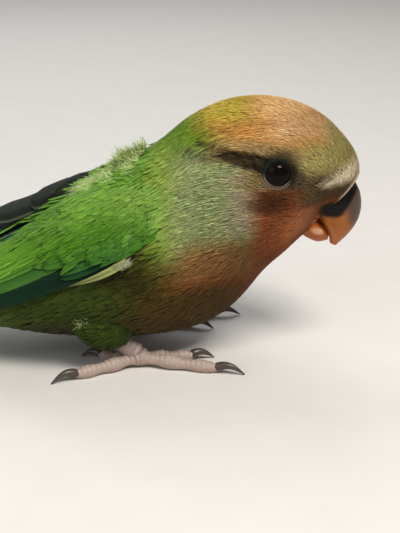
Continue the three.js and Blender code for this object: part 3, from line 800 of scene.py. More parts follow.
def make_coat():
    coat = dict(spacing=coat_spacing, length=coat_length, width=coat_width)
    coat.update(heading=coat_heading, rise=coat_rise)
    fine = dict(
        coat, shape=narrow_leaf, spread=three_columns, finish=head_plume, slot="crown", shade=(0.9, 1.03)
    )
    lay_coat("coat_face", (0.15, 3.6), (0, 360), seed=31, **fine)
    lay_coat("coat_crown", (3.5, 7.8), (-62, 62), seed=41, **fine)
    lay_coat("coat_cheeks", (3.5, 7.8), (62, 298), seed=45, vary=0.09, **fine)
    broad = dict(coat, shape=leaf, finish=body_plume, shade=(0.84, 1.04))
    lay_coat("coat_neck", (7.7, 10.2), (0, 360), seed=51, slot="nape", spread=three_columns, **broad)
    lay_coat("coat_body", (10.1, 15.6), (0, 360), seed=61, slot="body", spread=five_columns, **broad)
    thin = dict(coat, shape=wisp, spread=two_edges, shade=(0.9, 1.12), finish=head_plume, width=wisp_width)
    thin["rise"] = lambda s, v: coat_rise(s, v) + 0.1
    lay_coat("wisps_head", (0.4, 8.2), (0, 360), seed=71, slot="crown", **thin)
    lay_coat("wisps_body", (8.0, 10.8), (0, 360), seed=75, slot="body", **thin)
    silver = dict(thin, shade=(1.08, 1.42), width=scaled(wisp_width, 1.1), vary=0.14, stray=3, slot="nape")
    silver.update(length=scaled(coat_length, 1.6), spacing=scaled(coat_spacing, 1.6))
    lay_coat("silver_right", (4.6, 9.2), (38, 112), seed=85, **silver)
    lay_coat("silver_left", (4.6, 9.2), (248, 322), seed=87, **silver)


# Eyes and their lids
def make_eye(side, word):
    """A dark eyeball with a clear bulge over its pupil."""
    rows, columns = 40, 48
    centre, axes = eye_frame(side)
    angle = np.radians(np.linspace(180, 4, rows))
    radii = EYE_RADIUS * np.sin(angle)
    radii[0] = 0.02
    heights = EYE_RADIUS * np.cos(angle) + 0.35 * ramp(np.degrees(angle), 42, 18)
    around = np.radians(round_angles(columns))
    high = np.broadcast_to(heights[:, None], (rows, columns))
    grid = np.stack([np.outer(radii, np.cos(around)), np.outer(radii, np.sin(around)), high], -1)
    local = np.concatenate([grid.reshape(-1, 3), [[0, 0, heights[0]]], [[0, 0, heights[-1] + 0.005]]])
    far = np.hypot(local[:, 0], local[:, 1])
    iris, rim = (colour(20, 14, 10), ramp(far, 1.5, 1.8)), (colour(24, 34, 32), ramp(far, 2.2, 2.45))
    tone = painted(far.shape, colour(10, 8, 8), [iris, rim])
    points, quads = local @ axes.T + centre, grid_quads(rows, columns, closed=True)
    eye = add_piece(f"eyeball_{word}", points, quads, end_caps(rows, columns), eye_finish, tone)
    face_outwards(eye)
    settle(eye, "eye", f"eye_{word}")


# From the edge against the eye outwards: the radius about the line that the eye looks along, and the height
LID_PROFILE = [
    (2.44, 2.5), (2.47, 2.84), (2.53, 2.93), (2.62, 2.94), (2.70, 2.87), (2.78, 2.80),
    (2.88, 2.85), (3.0, 2.88), (3.14, 2.8), (3.4, 2.6), (3.8, 2.3), (4.1, 2.0),
]


def make_lids(side, word):
    """The rim of bare skin round an eye: a thin edge against the eye, a groove, and a fold below it."""
    centre, axes = eye_frame(side)
    rows, columns = len(LID_PROFILE), 120
    a = np.radians(round_angles(columns))[None, :]
    radii, heights = np.array(LID_PROFILE).T[:, :, None]
    low = ramp(-np.sin(a - 0.25), 0.0, 0.7)
    behind = ramp(np.cos(a), 0.1, 0.8) * (1 - low)
    fold = ramp(radii, 2.76, 2.92) * ramp(radii, 3.6, 3.2)
    crease = 0.025 * np.sin(31 * a + 1.5 * np.sin(3 * a)) * ramp(radii, 2.5, 2.8)
    x = radii * (1 + 0.03 * np.cos(2 * a)) * np.cos(a)
    y = radii * (0.95 - 0.04 * ramp(np.sin(a), 0.3, 1.0)) * np.sin(a)
    z = heights + crease - (1 - low) * (fold * 0.25 + 0.1 * ramp(radii, 2.5, 2.7)) - 0.01 * x * x
    dark, pale, teal = colour(14, 10, 9), colour(146, 132, 118), colour(24, 38, 34)
    outer, lower = colour(36, 28, 20), colour(116, 98, 82)
    size = (rows, columns)
    rim = painted(size, dark, [(teal, 0.8 * behind), (pale, low)])
    skin = painted(size, outer, [(lower, low)])
    coats = [
        (rim, ramp(radii, 2.48, 2.56)),
        (dark, ramp(radii, 2.66, 2.74)),
        (skin, ramp(radii, 2.82, 2.94)),
        (outer, ramp(radii, 3.1, 3.35)),
    ]
    points = np.stack([x, y, z], -1).reshape(-1, 3) @ axes.T + centre
    quads = grid_quads(rows, columns, closed=True)
    lids = add_piece(f"eyelids_{word}", points, quads, (), lid_finish, painted(size, dark, coats))
    if Vector(axes[:, 2].tolist()).dot(lids.data.polygons[len(lids.data.polygons) // 2].normal) < 0:
        lids.data.flip_normals()
    thicken(lids, 0.3)
    settle(lids, "eye")


# The bill
def bill_tone(x, y, z):
    """The upper bill's tone: amber, a grey ridge with a painted highlight along it, and a fledgling's black
    base.
    """
    off = np.abs(y)
    base = stroke(x, z, [(49.8, 31.0, 1.9), (51.2, 31.3, 2.5), (54.8, 35.2, 1.3)])
    coats = [
        (colour(176, 104, 50), ramp(z, 28.5, 24) * ramp(x, 54.5, 51.5)),
        (colour(78, 60, 52), ramp(x + 0.5 * (z - 28) - 0.4 * off, 51.4, 54.4) * ramp(z, 24.6, 28.8)),
        # painted highlight: a pale line along the ridge
        (colour(138, 124, 116), ramp(off, 1.3, 0.3) * ramp(z, 26.0, 29.5) * ramp(z, 34.5, 32)),
        (colour(96, 74, 40), patch(x, z, (47.6, 30.4), (1.6, 2.2), -20, 0.5)),
        (BLACK_HORN, np.clip(1.7 * base, 0, 1)),
    ]
    return painted(x.shape, AMBER_HORN, coats)


def lower_bill_tone(x, y, z):
    # painted highlight: a pale pinkish glint near the lower bill's tip
    pale = colour(214, 170, 142), 0.8 * patch(x, z, (47.9, 26.3), (1.3, 0.7), -20, 0.5)
    return painted(x.shape, colour(160, 88, 36), [pale])


def bill_relief(s, v):
    """The ridge along the top, the cutting edges and the growth lines of the upper bill, in millimetres."""
    beside = from_top(v)
    ridge = 0.12 * np.exp(-((beside / 13) ** 2)) * ramp(s, 4.8, 3.5)
    edge = 0.22 * np.exp(-(((beside - 116) / 9) ** 2)) * ramp(s, 0.3, 1.2) * ramp(s, 4.9, 3.0)
    hollow = 0.1 * np.exp(-(((beside - 96) / 10) ** 2)) * ramp(s, 0.6, 1.6)
    lines = 0.012 * np.sin(9.0 * s + 0.02 * beside) * ramp(s, 0.4, 1.0)
    return ridge + edge + lines - hollow


def make_bill():
    columns = 96
    for name, form, tone_at in (
        ("upper_bill", UPPER_BILL, bill_tone),
        ("lower_bill", LOWER_BILL, lower_bill_tone),
    ):
        s_values = np.linspace(-0.35, len(form) - 1, 64)
        s, v = s_values[:, None], round_angles(columns)[None, :]
        relief = bill_relief(s, v) if form is UPPER_BILL else 0.0
        points, quads, ends, flat = closed_form(form, s_values, columns, relief)
        plain = place_on(form, s, v, turn=False).reshape(-1, 3)
        tone = tone_at(*np.concatenate([plain, plain[:1], plain[-1:]]).T)
        piece = add_piece(f"horn_{name}", points, quads, ends, bill_finish, tone, {"OFBake": flat})
        face_outwards(piece)
        settle(piece, "bill", name)


def make_cere():
    """The bare pale rim above the bill, with the nostrils in it."""
    rows, columns = 50, 150
    s, v = np.meshgrid(np.linspace(-0.4, 1.4, rows), np.linspace(-92, 92, columns), indexing="ij")
    beside = np.abs(v)
    swell = ramp(s, -0.25, 0.62) * ramp(s, 1.4, 0.8) * ramp(beside, 88, 44)
    split = 0.16 * np.exp(-((beside / 6) ** 2)) * ramp(s, 0.9, 0.3)
    nostril = np.exp(-(((s - 0.56) / 0.13) ** 2 + ((beside - 24) / 2.6) ** 2))
    wrinkle = 0.03 * np.sin(0.9 * v + 3 * np.sin(6 * s))
    points = place_on(BODY, s, v, -0.75 + swell * (1.0 + wrinkle) - split - 0.35 * nostril)
    coats = [(colour(88, 74, 62), ramp(s, 0.42, 0.12)), (colour(24, 16, 14), ramp(nostril, 0.25, 0.7))]
    tone = painted(s.shape, colour(158, 142, 122), coats)
    cere = add_piece("cere", points, grid_quads(rows, columns), (), lid_finish, tone)
    thicken(cere, 0.15)
    settle(cere, "bill")


# Wings. A place on one is a ring of the cloak and an angle from the back. Each row here is a ring, with the
# lowest and the highest angle where small coverts grow.
WING_EDGE = [(0.05, 59, 46), (0.33, 68, 38), (0.76, 70, 30), (1.2, 64, 21), (1.9, 63, 15), (3.4, 66, 12)]
WING_MAP = dict(rings=8, turn=95)


def wing_height(c):
    """How far the folded wing's feathers stand off the cloak at ring c."""
    return np.interp(c, [0.0, 0.25, 0.5, 0.9, 1.6, 4.0, 7.0], [-1.1, -0.4, 0.4, 1.1, 1.45, 1.4, 0.8])


def spot(c, angle, centre, reach):
    """1 at a place on the wing, fading to 0 at its reach."""
    return 1 - ramp(np.hypot((c - centre[0]) / reach[0], (angle - centre[1]) / reach[1]), 0.3, 1)


def wing_tone(c, angle, draw):
    """The coverts' tone: pale above, darker and bluer at the lower edge, with a few pale tips and two patches
    of painted sheen.
    """
    # painted sheen: two soft patches lightened towards pale mint
    sheen = np.maximum(spot(c, angle, (2.25, 30), (0.3, 7)), spot(c, angle, (2.75, 58), (0.4, 16)))
    pale = np.clip(draw.normal(0.06, 0.14, np.shape(c)), 0, 0.5) * ramp(angle, 72, 56) + 0.5 * sheen
    coats = [
        (WING_TOP, ramp(angle, 56, 30) * ramp(c, 2.8, 1.0)),
        (WING_FAR, ramp(c, 1.9, 2.8)),
        (WING_LOW, ramp(angle, 55, 70) * ramp(c, 0.2, 0.9)),
        (SHOULDER, np.maximum(0.8 * spot(c, angle, (0.25, 40), (0.7, 24)), ramp(c, 0.35, 0.1))),
        (WING_PALE_SHEEN, np.clip(pale + 0.7 * spot(c, angle, (0.56, 60.5), (0.09, 3)), 0, 1)),
    ]
    return painted(np.shape(c), WING, coats) * (1 + 0.06 * draw.normal(0, 1, np.shape(c) + (1,)))


# Each tier: feathers, roots and tips from the lowest feather to the highest as (ring, angle), half width,
# lift at root and tip, lift from one feather to the next, and how far the lowest and the highest bend down
FLIGHT_TIERS = [
    ("primaries", 9, ((0.9, 70), (1.4, 54)), ((6.75, 61), (4.9, 36)), 2.0, (0.0, 0.2), 0.06, (15, 5)),
    ("secondaries", 12, ((1.1, 59), (1.2, 24)), ((4.2, 68), (3.7, 31)), 1.9, (0.35, 0.85), 0.03, (1, 2)),
    ("tertials", 4, ((1.0, 34), (1.1, 20)), ((4.5, 42), (4.0, 24)), 2.4, (0.5, 1.25), 0.07, (3, 1)),
]
COVERT_TIERS = [
    ("primary coverts", 8, ((0.62, 66), (0.7, 60)), ((1.95, 74), (1.8, 65)), 0.95, (0.1, 0.7), 0.03, (1, 1)),
    ("great coverts", 16, ((0.6, 61), (0.7, 20)), ((2.3, 64), (2.2, 27)), 1.35, (0.45, 1.15), 0.01, (1, 1)),
    ("middle coverts", 17, ((0.45, 61), (0.5, 22)), ((1.75, 62), (1.7, 25)), 1.15, (0.5, 1.4), 0.006, (0, 0)),
]


def make_tier(side, tier, draw):
    """One tier of the wing's feathers, laid side by side on the cloak."""
    name, count, roots, tips, half, lifts, step, bends = tier
    rows, columns = 14, 9
    t = np.linspace(0, 1, rows)
    shape = np.interp(t, [0, 0.12, 0.4, 0.75, 0.9, 0.97, 1], [0.35, 0.7, 0.95, 1, 0.8, 0.52, 0.15])
    share = np.linspace(0, 1, count)
    stray = np.stack([draw.normal(0, 0.06, count), draw.normal(0, 1.0, count)], -1)
    root, tip = (np.array(a) + (np.array(b) - np.array(a)) * share[:, None] for a, b in (roots, tips))
    tip = tip + stray
    bend = bends[0] + (bends[1] - bends[0]) * share[:, None]
    s = root[:, :1] + (tip[:, :1] - root[:, :1]) * t
    v = root[:, 1:] + (tip[:, 1:] - root[:, 1:]) * t + bend * np.sin(math.pi * t)
    lift = lifts[0] + (lifts[1] - lifts[0]) * t[None, :] ** 1.2 + (step * np.arange(count))[:, None]
    halves = half * (0.94 + 0.12 * draw.random(count))
    points, vane = vanes(CLOAK, s, -side * v, lift, halves, shape, np.linspace(-1, 1, columns), cup=0.16)
    if name == "primaries":
        base = painted((count,), TEAL, [(FLIGHT, ramp(share, 0.3, 0.9))])
    elif name == "primary coverts":
        base = painted((count,), TEAL, [(WING_LOW, ramp(share, -0.2, 0.6))])
    else:
        base = wing_tone(tip[:, 0], tip[:, 1], draw)
    # the edges paler, and lightened towards pale mint as a painted sheen
    edge = over(base, WING_PALE_SHEEN, 0.12 if name == "primaries" else 0.5)
    tones = feather_tones(base * 0.8, base * 1.08, rows, columns, edge, 0.5)
    return batch_of(points, vane, tones, root[:, 0], root[:, 1], **WING_MAP)


def lay_on_wing(
    side, draw, seed, rings, angles, spacing, length, half, heading, shape, lift, tone, edged=True
):
    """Small feathers of a stretch of the wing. edged keeps them inside the edge of the small coverts."""
    low, high = angles if side < 0 else (360 - angles[1], 360 - angles[0])
    s, v = scatter(CLOAK, rings, (low, high), spacing, seed + side)
    angle = from_top(v)
    edge_rings, lowest, highest = np.array(WING_EDGE).T
    inside = (angle < np.interp(s, edge_rings, lowest)) & (angle > np.interp(s, edge_rings, highest))
    kept = inside | (not edged)
    s, v, angle = s[kept], v[kept], angle[kept]
    n, rows = len(s), len(shape)
    long_ = length(s) * (0.8 + 0.4 * draw.random(n))
    line_s, line_v = paths(CLOAK, s, v, long_, heading + draw.normal(0, 6, n), rows, bend=8)
    t = np.linspace(0, 1, rows)[None, :]
    spread = five_columns if half(s).max() > 0.3 else two_edges
    up = lift(line_s, np.minimum(line_v, 360 - line_v), t, draw.random((n, 1)))
    points, vane = vanes(CLOAK, line_s, line_v, up, half(s) * (0.85 + 0.3 * draw.random(n)), shape, spread)
    own = tone(s, angle)
    # the edges paler, and lightened towards pale mint as a painted sheen
    tones = feather_tones(own * 0.86, own * 1.05, rows, len(spread), over(own, WING_PALE_SHEEN, 0.3), 0.4)
    return batch_of(points, vane, tones, s, angle, **WING_MAP)


def make_small_coverts(side, draw):
    """The small feathers of the shoulder over the roots of the coverts, long soft ones from the back over the
    wing's upper edge, and loose pale barbs over them all. own is each feather's chance."""
    stops = [0.0, 0.5, 1.4]

    def from_under(c, a, t, own):
        return -((1 - t) ** 1.2) + np.interp(a, [4, 24], [0.3, 1.0]) * (wing_height(c) + 0.3) * t

    small = lay_on_wing(
        side, draw, 170, (0.05, 1.5), (18, 72),
        spacing=lambda s, v: np.interp(s, stops, [0.42, 0.5, 0.66]),
        length=lambda s: np.interp(s, stops, [3.0, 4.0, 5.4]),
        half=lambda s: np.interp(s, stops, [0.4, 0.55, 0.8]),
        heading=8,
        shape=(0.45, 0.9, 1.0, 0.9, 0.6, 0.12),
        lift=lambda c, a, t, own: wing_height(c) + 0.28 - 0.8 * (1 - t) ** 1.3 + 0.15 * t * own,
        tone=lambda c, a: wing_tone(c, a, draw),
    )
    back = lay_on_wing(
        side, draw, 180, (0.3, 2.4), (4, 27),
        spacing=evenly(0.95),
        length=lambda s: np.interp(s, stops, [4.6, 5.2, 7.0]),
        half=lambda s: np.full(np.shape(s), 0.95),
        heading=16,
        shape=(0.4, 0.8, 0.95, 1.0, 0.95, 0.8, 0.5, 0.12),
        lift=from_under,
        tone=lambda c, a: over(wing_tone(c, a, draw), BACK, 0.5),
        edged=False,
    )
    loose = lay_on_wing(
        side, draw, 190, (0.1, 3.4), (12, 57),
        spacing=lambda s, v: np.interp(s, [0, 1, 3], [0.45, 0.6, 1.0]),
        length=lambda s: np.interp(s, [0, 3], [2.4, 4.4]),
        half=lambda s: np.full(np.shape(s), 0.075),
        heading=10,
        shape=(0.8, 1.0, 0.8, 0.5, 0.12),
        lift=lambda c, a, t, own: wing_height(c) + 0.1 + (0.25 + 0.35 * own) * t,
        tone=lambda c, a: wing_tone(c, a, draw) * 1.3,
    )
    return [small, back, loose]


# The far wing's raised feathers: ring and angle of the root and of the tip, and how high the tip stands
RAISED = [
    (1.6, 25, 4.6, 22, 3.0), (1.6, 27, 4.9, 26, 6.4), (1.6, 22, 3.5, 20, 5.8), (1.5, 19, 2.7, 17, 3.2),
    (1.4, 15, 2.2, 14, 1.1),
]
RAISED_TILT = -0.9  # how far their flat side turns to the bird's right


def make_raised_feathers(draw):
    """The inner flight feathers of the far wing, held a little off the back: dark, with pale edges."""
    root_s, root_v, tip_s, tip_v, rise = np.array(RAISED).T[:, :, None]
    count, rows, columns = len(RAISED), 16, 9
    t = np.linspace(0, 1, rows)[None, :]
    s, v = root_s + (tip_s - root_s) * t, root_v + (tip_v - root_v) * t
    shape = np.interp(t[0], [0, 0.12, 0.4, 0.8, 0.93, 1], [0.3, 0.7, 0.95, 1, 0.75, 0.15])
    lift, half = 0.2 + rise * t**1.25, np.full(count, 2.2)
    points, vane = vanes(
        CLOAK, s, -v, lift, half, shape, np.linspace(-1, 1, columns), cup=0.1, tilt=RAISED_TILT
    )
    base = painted((count,), FLIGHT, [(TEAL, 0.3 * draw.random(count))]) * 0.8
    tones = feather_tones(base, base * 1.2, rows, columns).copy()
    edge, shaft = columns - 1, columns // 2
    for column, tone, share in ((edge, colour(110, 114, 92), 0.75), (shaft, colour(60, 60, 46), 0.5)):
        tones[:, :, column] = over(tones[:, :, column], tone, share)
    return batch_of(points, vane, tones, root_s[:, 0], root_v[:, 0], **WING_MAP)


def make_cream_feather(draw):
    """A pale feather that pokes out along the near wing's lower edge, with a frayed end."""
    rows = 12
    t = np.linspace(0, 1, rows)[None, :]
    shape = np.interp(t[0], [0, 0.3, 0.6, 0.9, 1], [0.12, 0.55, 0.9, 1.0, 0.8])
    s, v = 1.78 - 0.94 * t, 80.6 - 5.8 * t + 0.6 * np.sin(math.pi * t)
    points, vane = vanes(CLOAK, s, v, 0.35 + 0.75 * t, np.array([0.72]), shape, five_columns)
    cream = CREAM[None]
    tones = feather_tones(cream * 0.62, cream * 1.05, rows, len(five_columns), cream * 1.2, 0.5)
    whole = batch_of(points, vane, tones, [1.3], [78], **WING_MAP)
    n, rows = 110, 5
    root_s, root_v = 0.84 + 0.26 * draw.random(n) ** 1.5, 74.8 + 2.2 * draw.random(n)
    long_ = 0.7 + 1.0 * draw.random(n)
    line_s, line_v = paths(CLOAK, root_s, root_v, long_, 180 + draw.normal(0, 30, n), rows)
    lift = 0.9 + (0.1 + 0.6 * draw.random((n, 1))) * np.linspace(0, 1, rows)[None, :]
    points, vane = vanes(CLOAK, line_s, line_v, lift, np.full(n, 0.05), (1, 1, 0.8, 0.5, 0.15), two_edges)
    pale = painted((n,), CREAM * 1.1, [(colour(236, 238, 218), draw.random(n))])
    tones = feather_tones(pale * 0.9, pale * 1.1, rows, len(two_edges))
    return [whole, batch_of(points, vane, tones, root_s, root_v, **WING_MAP)]


def make_wing(side, word):
    """A folded wing: flight feathers below, then tiers of coverts over them up to the shoulder."""
    draw = np.random.default_rng(70 + side)
    flight = [make_tier(side, tier, draw) for tier in FLIGHT_TIERS]
    cover = [make_tier(side, tier, draw) for tier in COVERT_TIERS]
    small = make_small_coverts(side, draw)
    if side > 0:
        flight.append(make_raised_feathers(draw))
    else:
        small += make_cream_feather(draw)
    for name, batches, finish, millimetres, nodes in (
        ("flight_feathers", flight, flight_plume, 0.12, [f"wing_{word}"]),
        ("wing_coverts", cover, wing_plume, 0.12, []),
        ("small_coverts", small, wing_plume, 0, []),
    ):
        piece = join_batches(f"{name}_{word}", batches, finish)
        if millimetres:
            thicken(piece, millimetres)
        settle(piece, "wing", *nodes)


# Down
def lay_down(form, rings, angles, spacing, seed, length, rise, fan, mix, share, half, base):
    """Tufts of down over a stretch of a form: from each root a fan of fine soft barbs, fan degrees wide. They
    rise from base to about rise over the form, and share of the tone mix goes into theirs."""
    strands, rows = 16, 7
    draw = np.random.default_rng(seed)
    s, v = scatter(form, rings, angles, evenly(spacing), seed + 1)
    inner = [
        ramp(np.minimum(at - low, high - at) / max(0.25 * (high - low), 0.01), 0, 1)
        for at, (low, high) in ((s, rings), (v, angles))
    ]
    keep = draw.random(len(s)) < 0.15 + inner[0] * inner[1]
    s, v = (np.repeat(a[keep], strands) for a in (s, v))
    n = len(s)
    long_ = length * (0.5 + 0.7 * draw.random(n))
    line_s, line_v = paths(form, s, v, long_, draw.normal(0, fan, n), rows, bend=draw.normal(0, 60, n))
    t = np.linspace(0, 1, rows)[None, :]
    line_v = line_v + draw.normal(0, 3.5, (n, 1)) * t**2 + draw.normal(0, 1.2, (n, 1)) * np.sin(5 * t)
    patches = 0.5 + 0.5 * np.sin(15.2 * s + 0.31 * v + 2 * np.sin(0.17 * v))
    up = (rise * (0.55 + 0.75 * patches**2) * (0.1 + 0.9 * draw.random(n) ** 1.4))[:, None]
    lift = base + (up - base) * (1.5 * t - 0.5 * t**2 - 0.5 * draw.random((n, 1)) * t**3)
    shape = (0.6, 1, 0.95, 0.85, 0.7, 0.45, 0.12)
    points, vane = vanes(form, line_s, line_v, lift, half * (0.6 + 0.8 * draw.random(n)), shape, two_edges)
    mixed = np.clip(share + draw.normal(0, 0.18, n) + 0.25 * (patches - 0.5), 0, 1)
    tone = painted((n,), DOWN, [(mix, mixed)]) * (1 + 0.07 * draw.normal(0, 1, (n, 1)))
    tones = feather_tones(tone * 0.9, tone * 1.08, rows, len(two_edges))
    return batch_of(points, vane, tones, s, v)


def make_down():
    """Pale down: along the middle of the back, standing up between the shoulders, and at the vent."""
    batches = [
        lay_down(CLOAK, (0.38, 1.7), (-15, 24), 0.6, 97, 3.4, 1.2, 26, WING_TOP, 0.22, 0.045, -0.1),
        lay_down(CLOAK, (0.4, 0.95), (-15, 8), 0.5, 101, 3.2, 3.2, 44, NAPE, 0.38, 0.05, 0.0),
        lay_down(BODY, (11.75, 12.1), (117, 127), 0.7, 103, 2.6, 1.3, 34, VENT, 0.1, 0.05, -0.6),
    ]
    settle(join_batches("back_down", batches, down_plume), "body")


# The tail
TAIL_MIDDLE = [(-24.0, 10.6), (-35.0, 6.0), (-47.0, 2.4), (-58.0, 0.3), (-66.0, -0.25)]
TAIL_PAIRS = 6


def make_tail_feather(rank, side):
    """One of a pair of long feathers, rank 0 in the middle of the tail. All but those have a red patch on
    their outer vane and a dark bar near the tip."""
    rows, columns = 16, 9
    t, k = np.linspace(0.03, 1, rows)[:, None], np.linspace(-1, 1, columns)[None, :]
    share = rank / (TAIL_PAIRS - 1)
    reach = t * (1 - 0.2 * share**1.3)
    x, z = np.moveaxis(between(TAIL_MIDDLE, reach * (len(TAIL_MIDDLE) - 1)), -1, 0)
    middle = side * (0.9 + share * 1.8 + reach * share * 5.2)
    across = 2.35 * np.interp(t, [0, 0.3, 0.7, 0.9, 0.97, 1], [0.5, 0.8, 1, 0.85, 0.5, 0.12]) * k
    up = z + (2.05 - 0.28 * rank - 0.1 * k * side - 0.1 * k**2) - 0.012 * middle**2 * (1 - reach)
    points = np.stack([np.broadcast_to(x, across.shape), middle + across, np.maximum(up, 0.25)], -1)
    red = ramp(reach, 0.35, 0.5) * ramp(reach, 0.72, 0.62) * ramp(side * k, 0.4, -0.1)
    bar = ramp(reach, 0.64, 0.7) * ramp(reach, 0.84, 0.78)
    barred = [(TAIL_RED, red), (TAIL_BAR, bar)] if rank else []
    tones = painted(across.shape, TAIL * (1 - 0.2 * share), barred)
    vane = np.stack([across, np.broadcast_to(reach * 42, across.shape)], -1)
    return batch_of(points[None], vane[None], tones[None], [1.0 + rank], [180 + side * 20 * (rank + 1)])


def make_tail():
    ranks = range(TAIL_PAIRS)
    long_feathers = [make_tail_feather(rank, side) for rank in ranks for side, _ in SIDES]
    tail = join_batches("tail_feathers", long_feathers, tail_plume)
    thicken(tail, 0.18)
    settle(tail, "tail", "tail")
    draw = np.random.default_rng(90)
    s, v = scatter(TAIL_CORE, (0.0, 2.3), (0, 360), evenly(1.7), 91)
    n, rows, columns = len(s), 8, len(five_columns)
    length = np.interp(s, [0, 2.3], [8, 11]) * (0.85 + 0.3 * draw.random(n))
    line_s, line_v = paths(TAIL_CORE, s, v, length, draw.normal(0, 4, n), rows)
    t = np.linspace(0, 1, rows)[None, :]
    shape = (0.4, 0.8, 0.95, 1, 0.95, 0.8, 0.5, 0.12)
    lift, half = -0.6 * (1 - t) + 0.3 * t, np.full(n, 1.5)
    points, vane = vanes(TAIL_CORE, line_s, line_v, lift, half, shape, five_columns)
    points[..., 2] = np.maximum(points[..., 2], 0.3)
    tone = painted((n,), RUMP, [(VENT, ramp(np.cos(np.radians(v)), 0.1, -0.2))])
    tone = tone * (1 + 0.08 * draw.normal(0, 1, (n, 1)))
    tones = feather_tones(tone * 0.75, tone * 1.08, rows, columns, tone * 1.2, 0.4)
    settle(join_batches("tail_coverts", [batch_of(points, vane, tones, s, v, rings=4)], body_plume), "tail")


# Feet
ANKLE, TOE_ROOT, TOE_HEIGHT = (2.5, 11.0, 8.6), (13.0, 11.0, 2.5), 1.05
# Each toe's heading, its length and its claw's
TOES = {1: (200, 8.5, 3.6), 2: (-14, 11.0, 4.0), 3: (12, 16.0, 4.8), 4: (152, 13.5, 4.6)}


def tube(line, radii, columns):
    """A closed tube along a line of points, no lower than the floor."""
    line, radii = np.asarray(line, float), np.asarray(radii, float)
    along = np.gradient(line, axis=0)
    along /= np.linalg.norm(along, axis=1)[:, None]
    aside = np.cross(along, [0, 0, 1])
    aside /= np.linalg.norm(aside, axis=1)[:, None]
    up = np.cross(aside, along)
    a = np.radians(round_angles(columns))[None, :, None]
    grid = line[:, None] + (np.cos(a) * aside[:, None] + np.sin(a) * up[:, None]) * radii[:, None, None]
    grid[..., 2] = np.maximum(grid[..., 2], FLOOR_GAP)
    points = np.concatenate([grid.reshape(-1, 3), line[:1], line[-1:]])
    return points, grid_quads(len(line), columns, closed=True), end_caps(len(line), columns)


def join_tubes(name, tubes, finish, tones):
    points, quads, triangles, tone, start = [], [], [], [], 0
    for (places, sides, ends), shade in zip(tubes, tones):
        points.append(places)
        quads.append(sides + start)
        triangles.append(ends + start)
        tone.append(np.broadcast_to(shade, places.shape))
        start += len(places)
    points, quads, triangles, tone = (np.concatenate(parts) for parts in (points, quads, triangles, tone))
    return add_piece(name, points, quads, triangles, finish, tone)


def toe_line(side, heading, start, end, heights):
    d, a = np.linspace(start, end, len(heights)), math.radians(heading)
    return np.stack([TOE_ROOT[0] + d * math.cos(a), side * (TOE_ROOT[1] + d * math.sin(a)), heights], -1)


def shank_line(side):
    """The middle line and the radii of a shank, from the ankle to the toes."""
    t = np.linspace(0, 1, 30)
    line = np.array(ANKLE) + (np.array(TOE_ROOT) - np.array(ANKLE)) * t[:, None]
    line[:, 2] += 0.6 * np.sin(math.pi * t)
    line[:, 1] *= side
    return line, np.interp(t, [0, 0.15, 0.5, 0.9, 1], [1.6, 1.9, 1.5, 1.9, 1.5])


def toe_lines(side):
    """The middle line and the radii of each toe of a foot, with a swelling at each joint."""
    t = np.linspace(0, 1, 48)
    joints = 1.18 + 0.18 * np.cos(2 * math.pi * 2.5 * t)
    radii = joints * np.interp(t, [0, 0.1, 0.92, 1], [1.4, 1.1, 0.9, 0.62])
    heights = TOE_HEIGHT + 0.9 * (1 - t) ** 2
    return [(toe_line(side, heading, 0, length, heights), radii) for heading, length, _ in TOES.values()]


def make_foot(side, word):
    grey, pale = colour(150, 132, 124), colour(168, 146, 134)
    tubes = [tube(*shank_line(side), 24)] + [tube(line, radii, 20) for line, radii in toe_lines(side)]
    foot = join_tubes(f"foot_skin_{word}", tubes, foot_finish, [grey] + [pale] * len(TOES))
    settle(foot, "foot", f"foot_{word}")
    t = np.linspace(0, 1, 20)
    arch = 0.75 * np.sin(math.pi * np.clip(t * 1.05, 0, 1))
    heights = TOE_HEIGHT + 0.15 + arch - (TOE_HEIGHT - 0.05) * t**1.6
    radii = np.interp(t, [0, 0.15, 0.6, 1], [0.8, 0.85, 0.55, 0.1])
    claws = []
    for heading, length, claw in TOES.values():
        claws.append(tube(toe_line(side, heading, length - 0.5, length + 0.3 + claw, heights), radii, 16))
    horn = join_tubes(f"claw_horn_{word}", claws, claw_finish, [colour(72, 62, 56)] * len(TOES))
    settle(horn, "claw", *[f"claw_{word}_{toe}" for toe in TOES])


def scute_plate():
    """One horny plate over a toe of radius 1: a curved strip that stands up at its far edge."""
    profile = np.array([(-0.44, 0.86), (-0.4, 1.0), (-0.1, 1.05), (0.3, 1.11), (0.42, 1.09), (0.44, 0.86)])
    rows, columns, reach = 13, len(profile), 82
    k = np.abs(np.linspace(-1, 1, rows))[:, None]
    a = np.radians(np.linspace(-reach, reach, rows))[:, None]
    x = profile[None, :, 0] * (1 - 0.25 * k**3)
    r = profile[None, :, 1] - 0.1 * k**4
    points = np.stack([x, r * np.sin(a), r * np.cos(a)], -1).reshape(-1, 3)
    last = len(points) - columns
    ends = [(0, i + 1, i) for i in range(1, columns - 1)]
    ends += [(last, last + i, last + i + 1) for i in range(1, columns - 1)]
    return add_piece("plate", points * 1000 - [SHIFT, 0, 0], grid_quads(rows, columns, closed=True), ends)


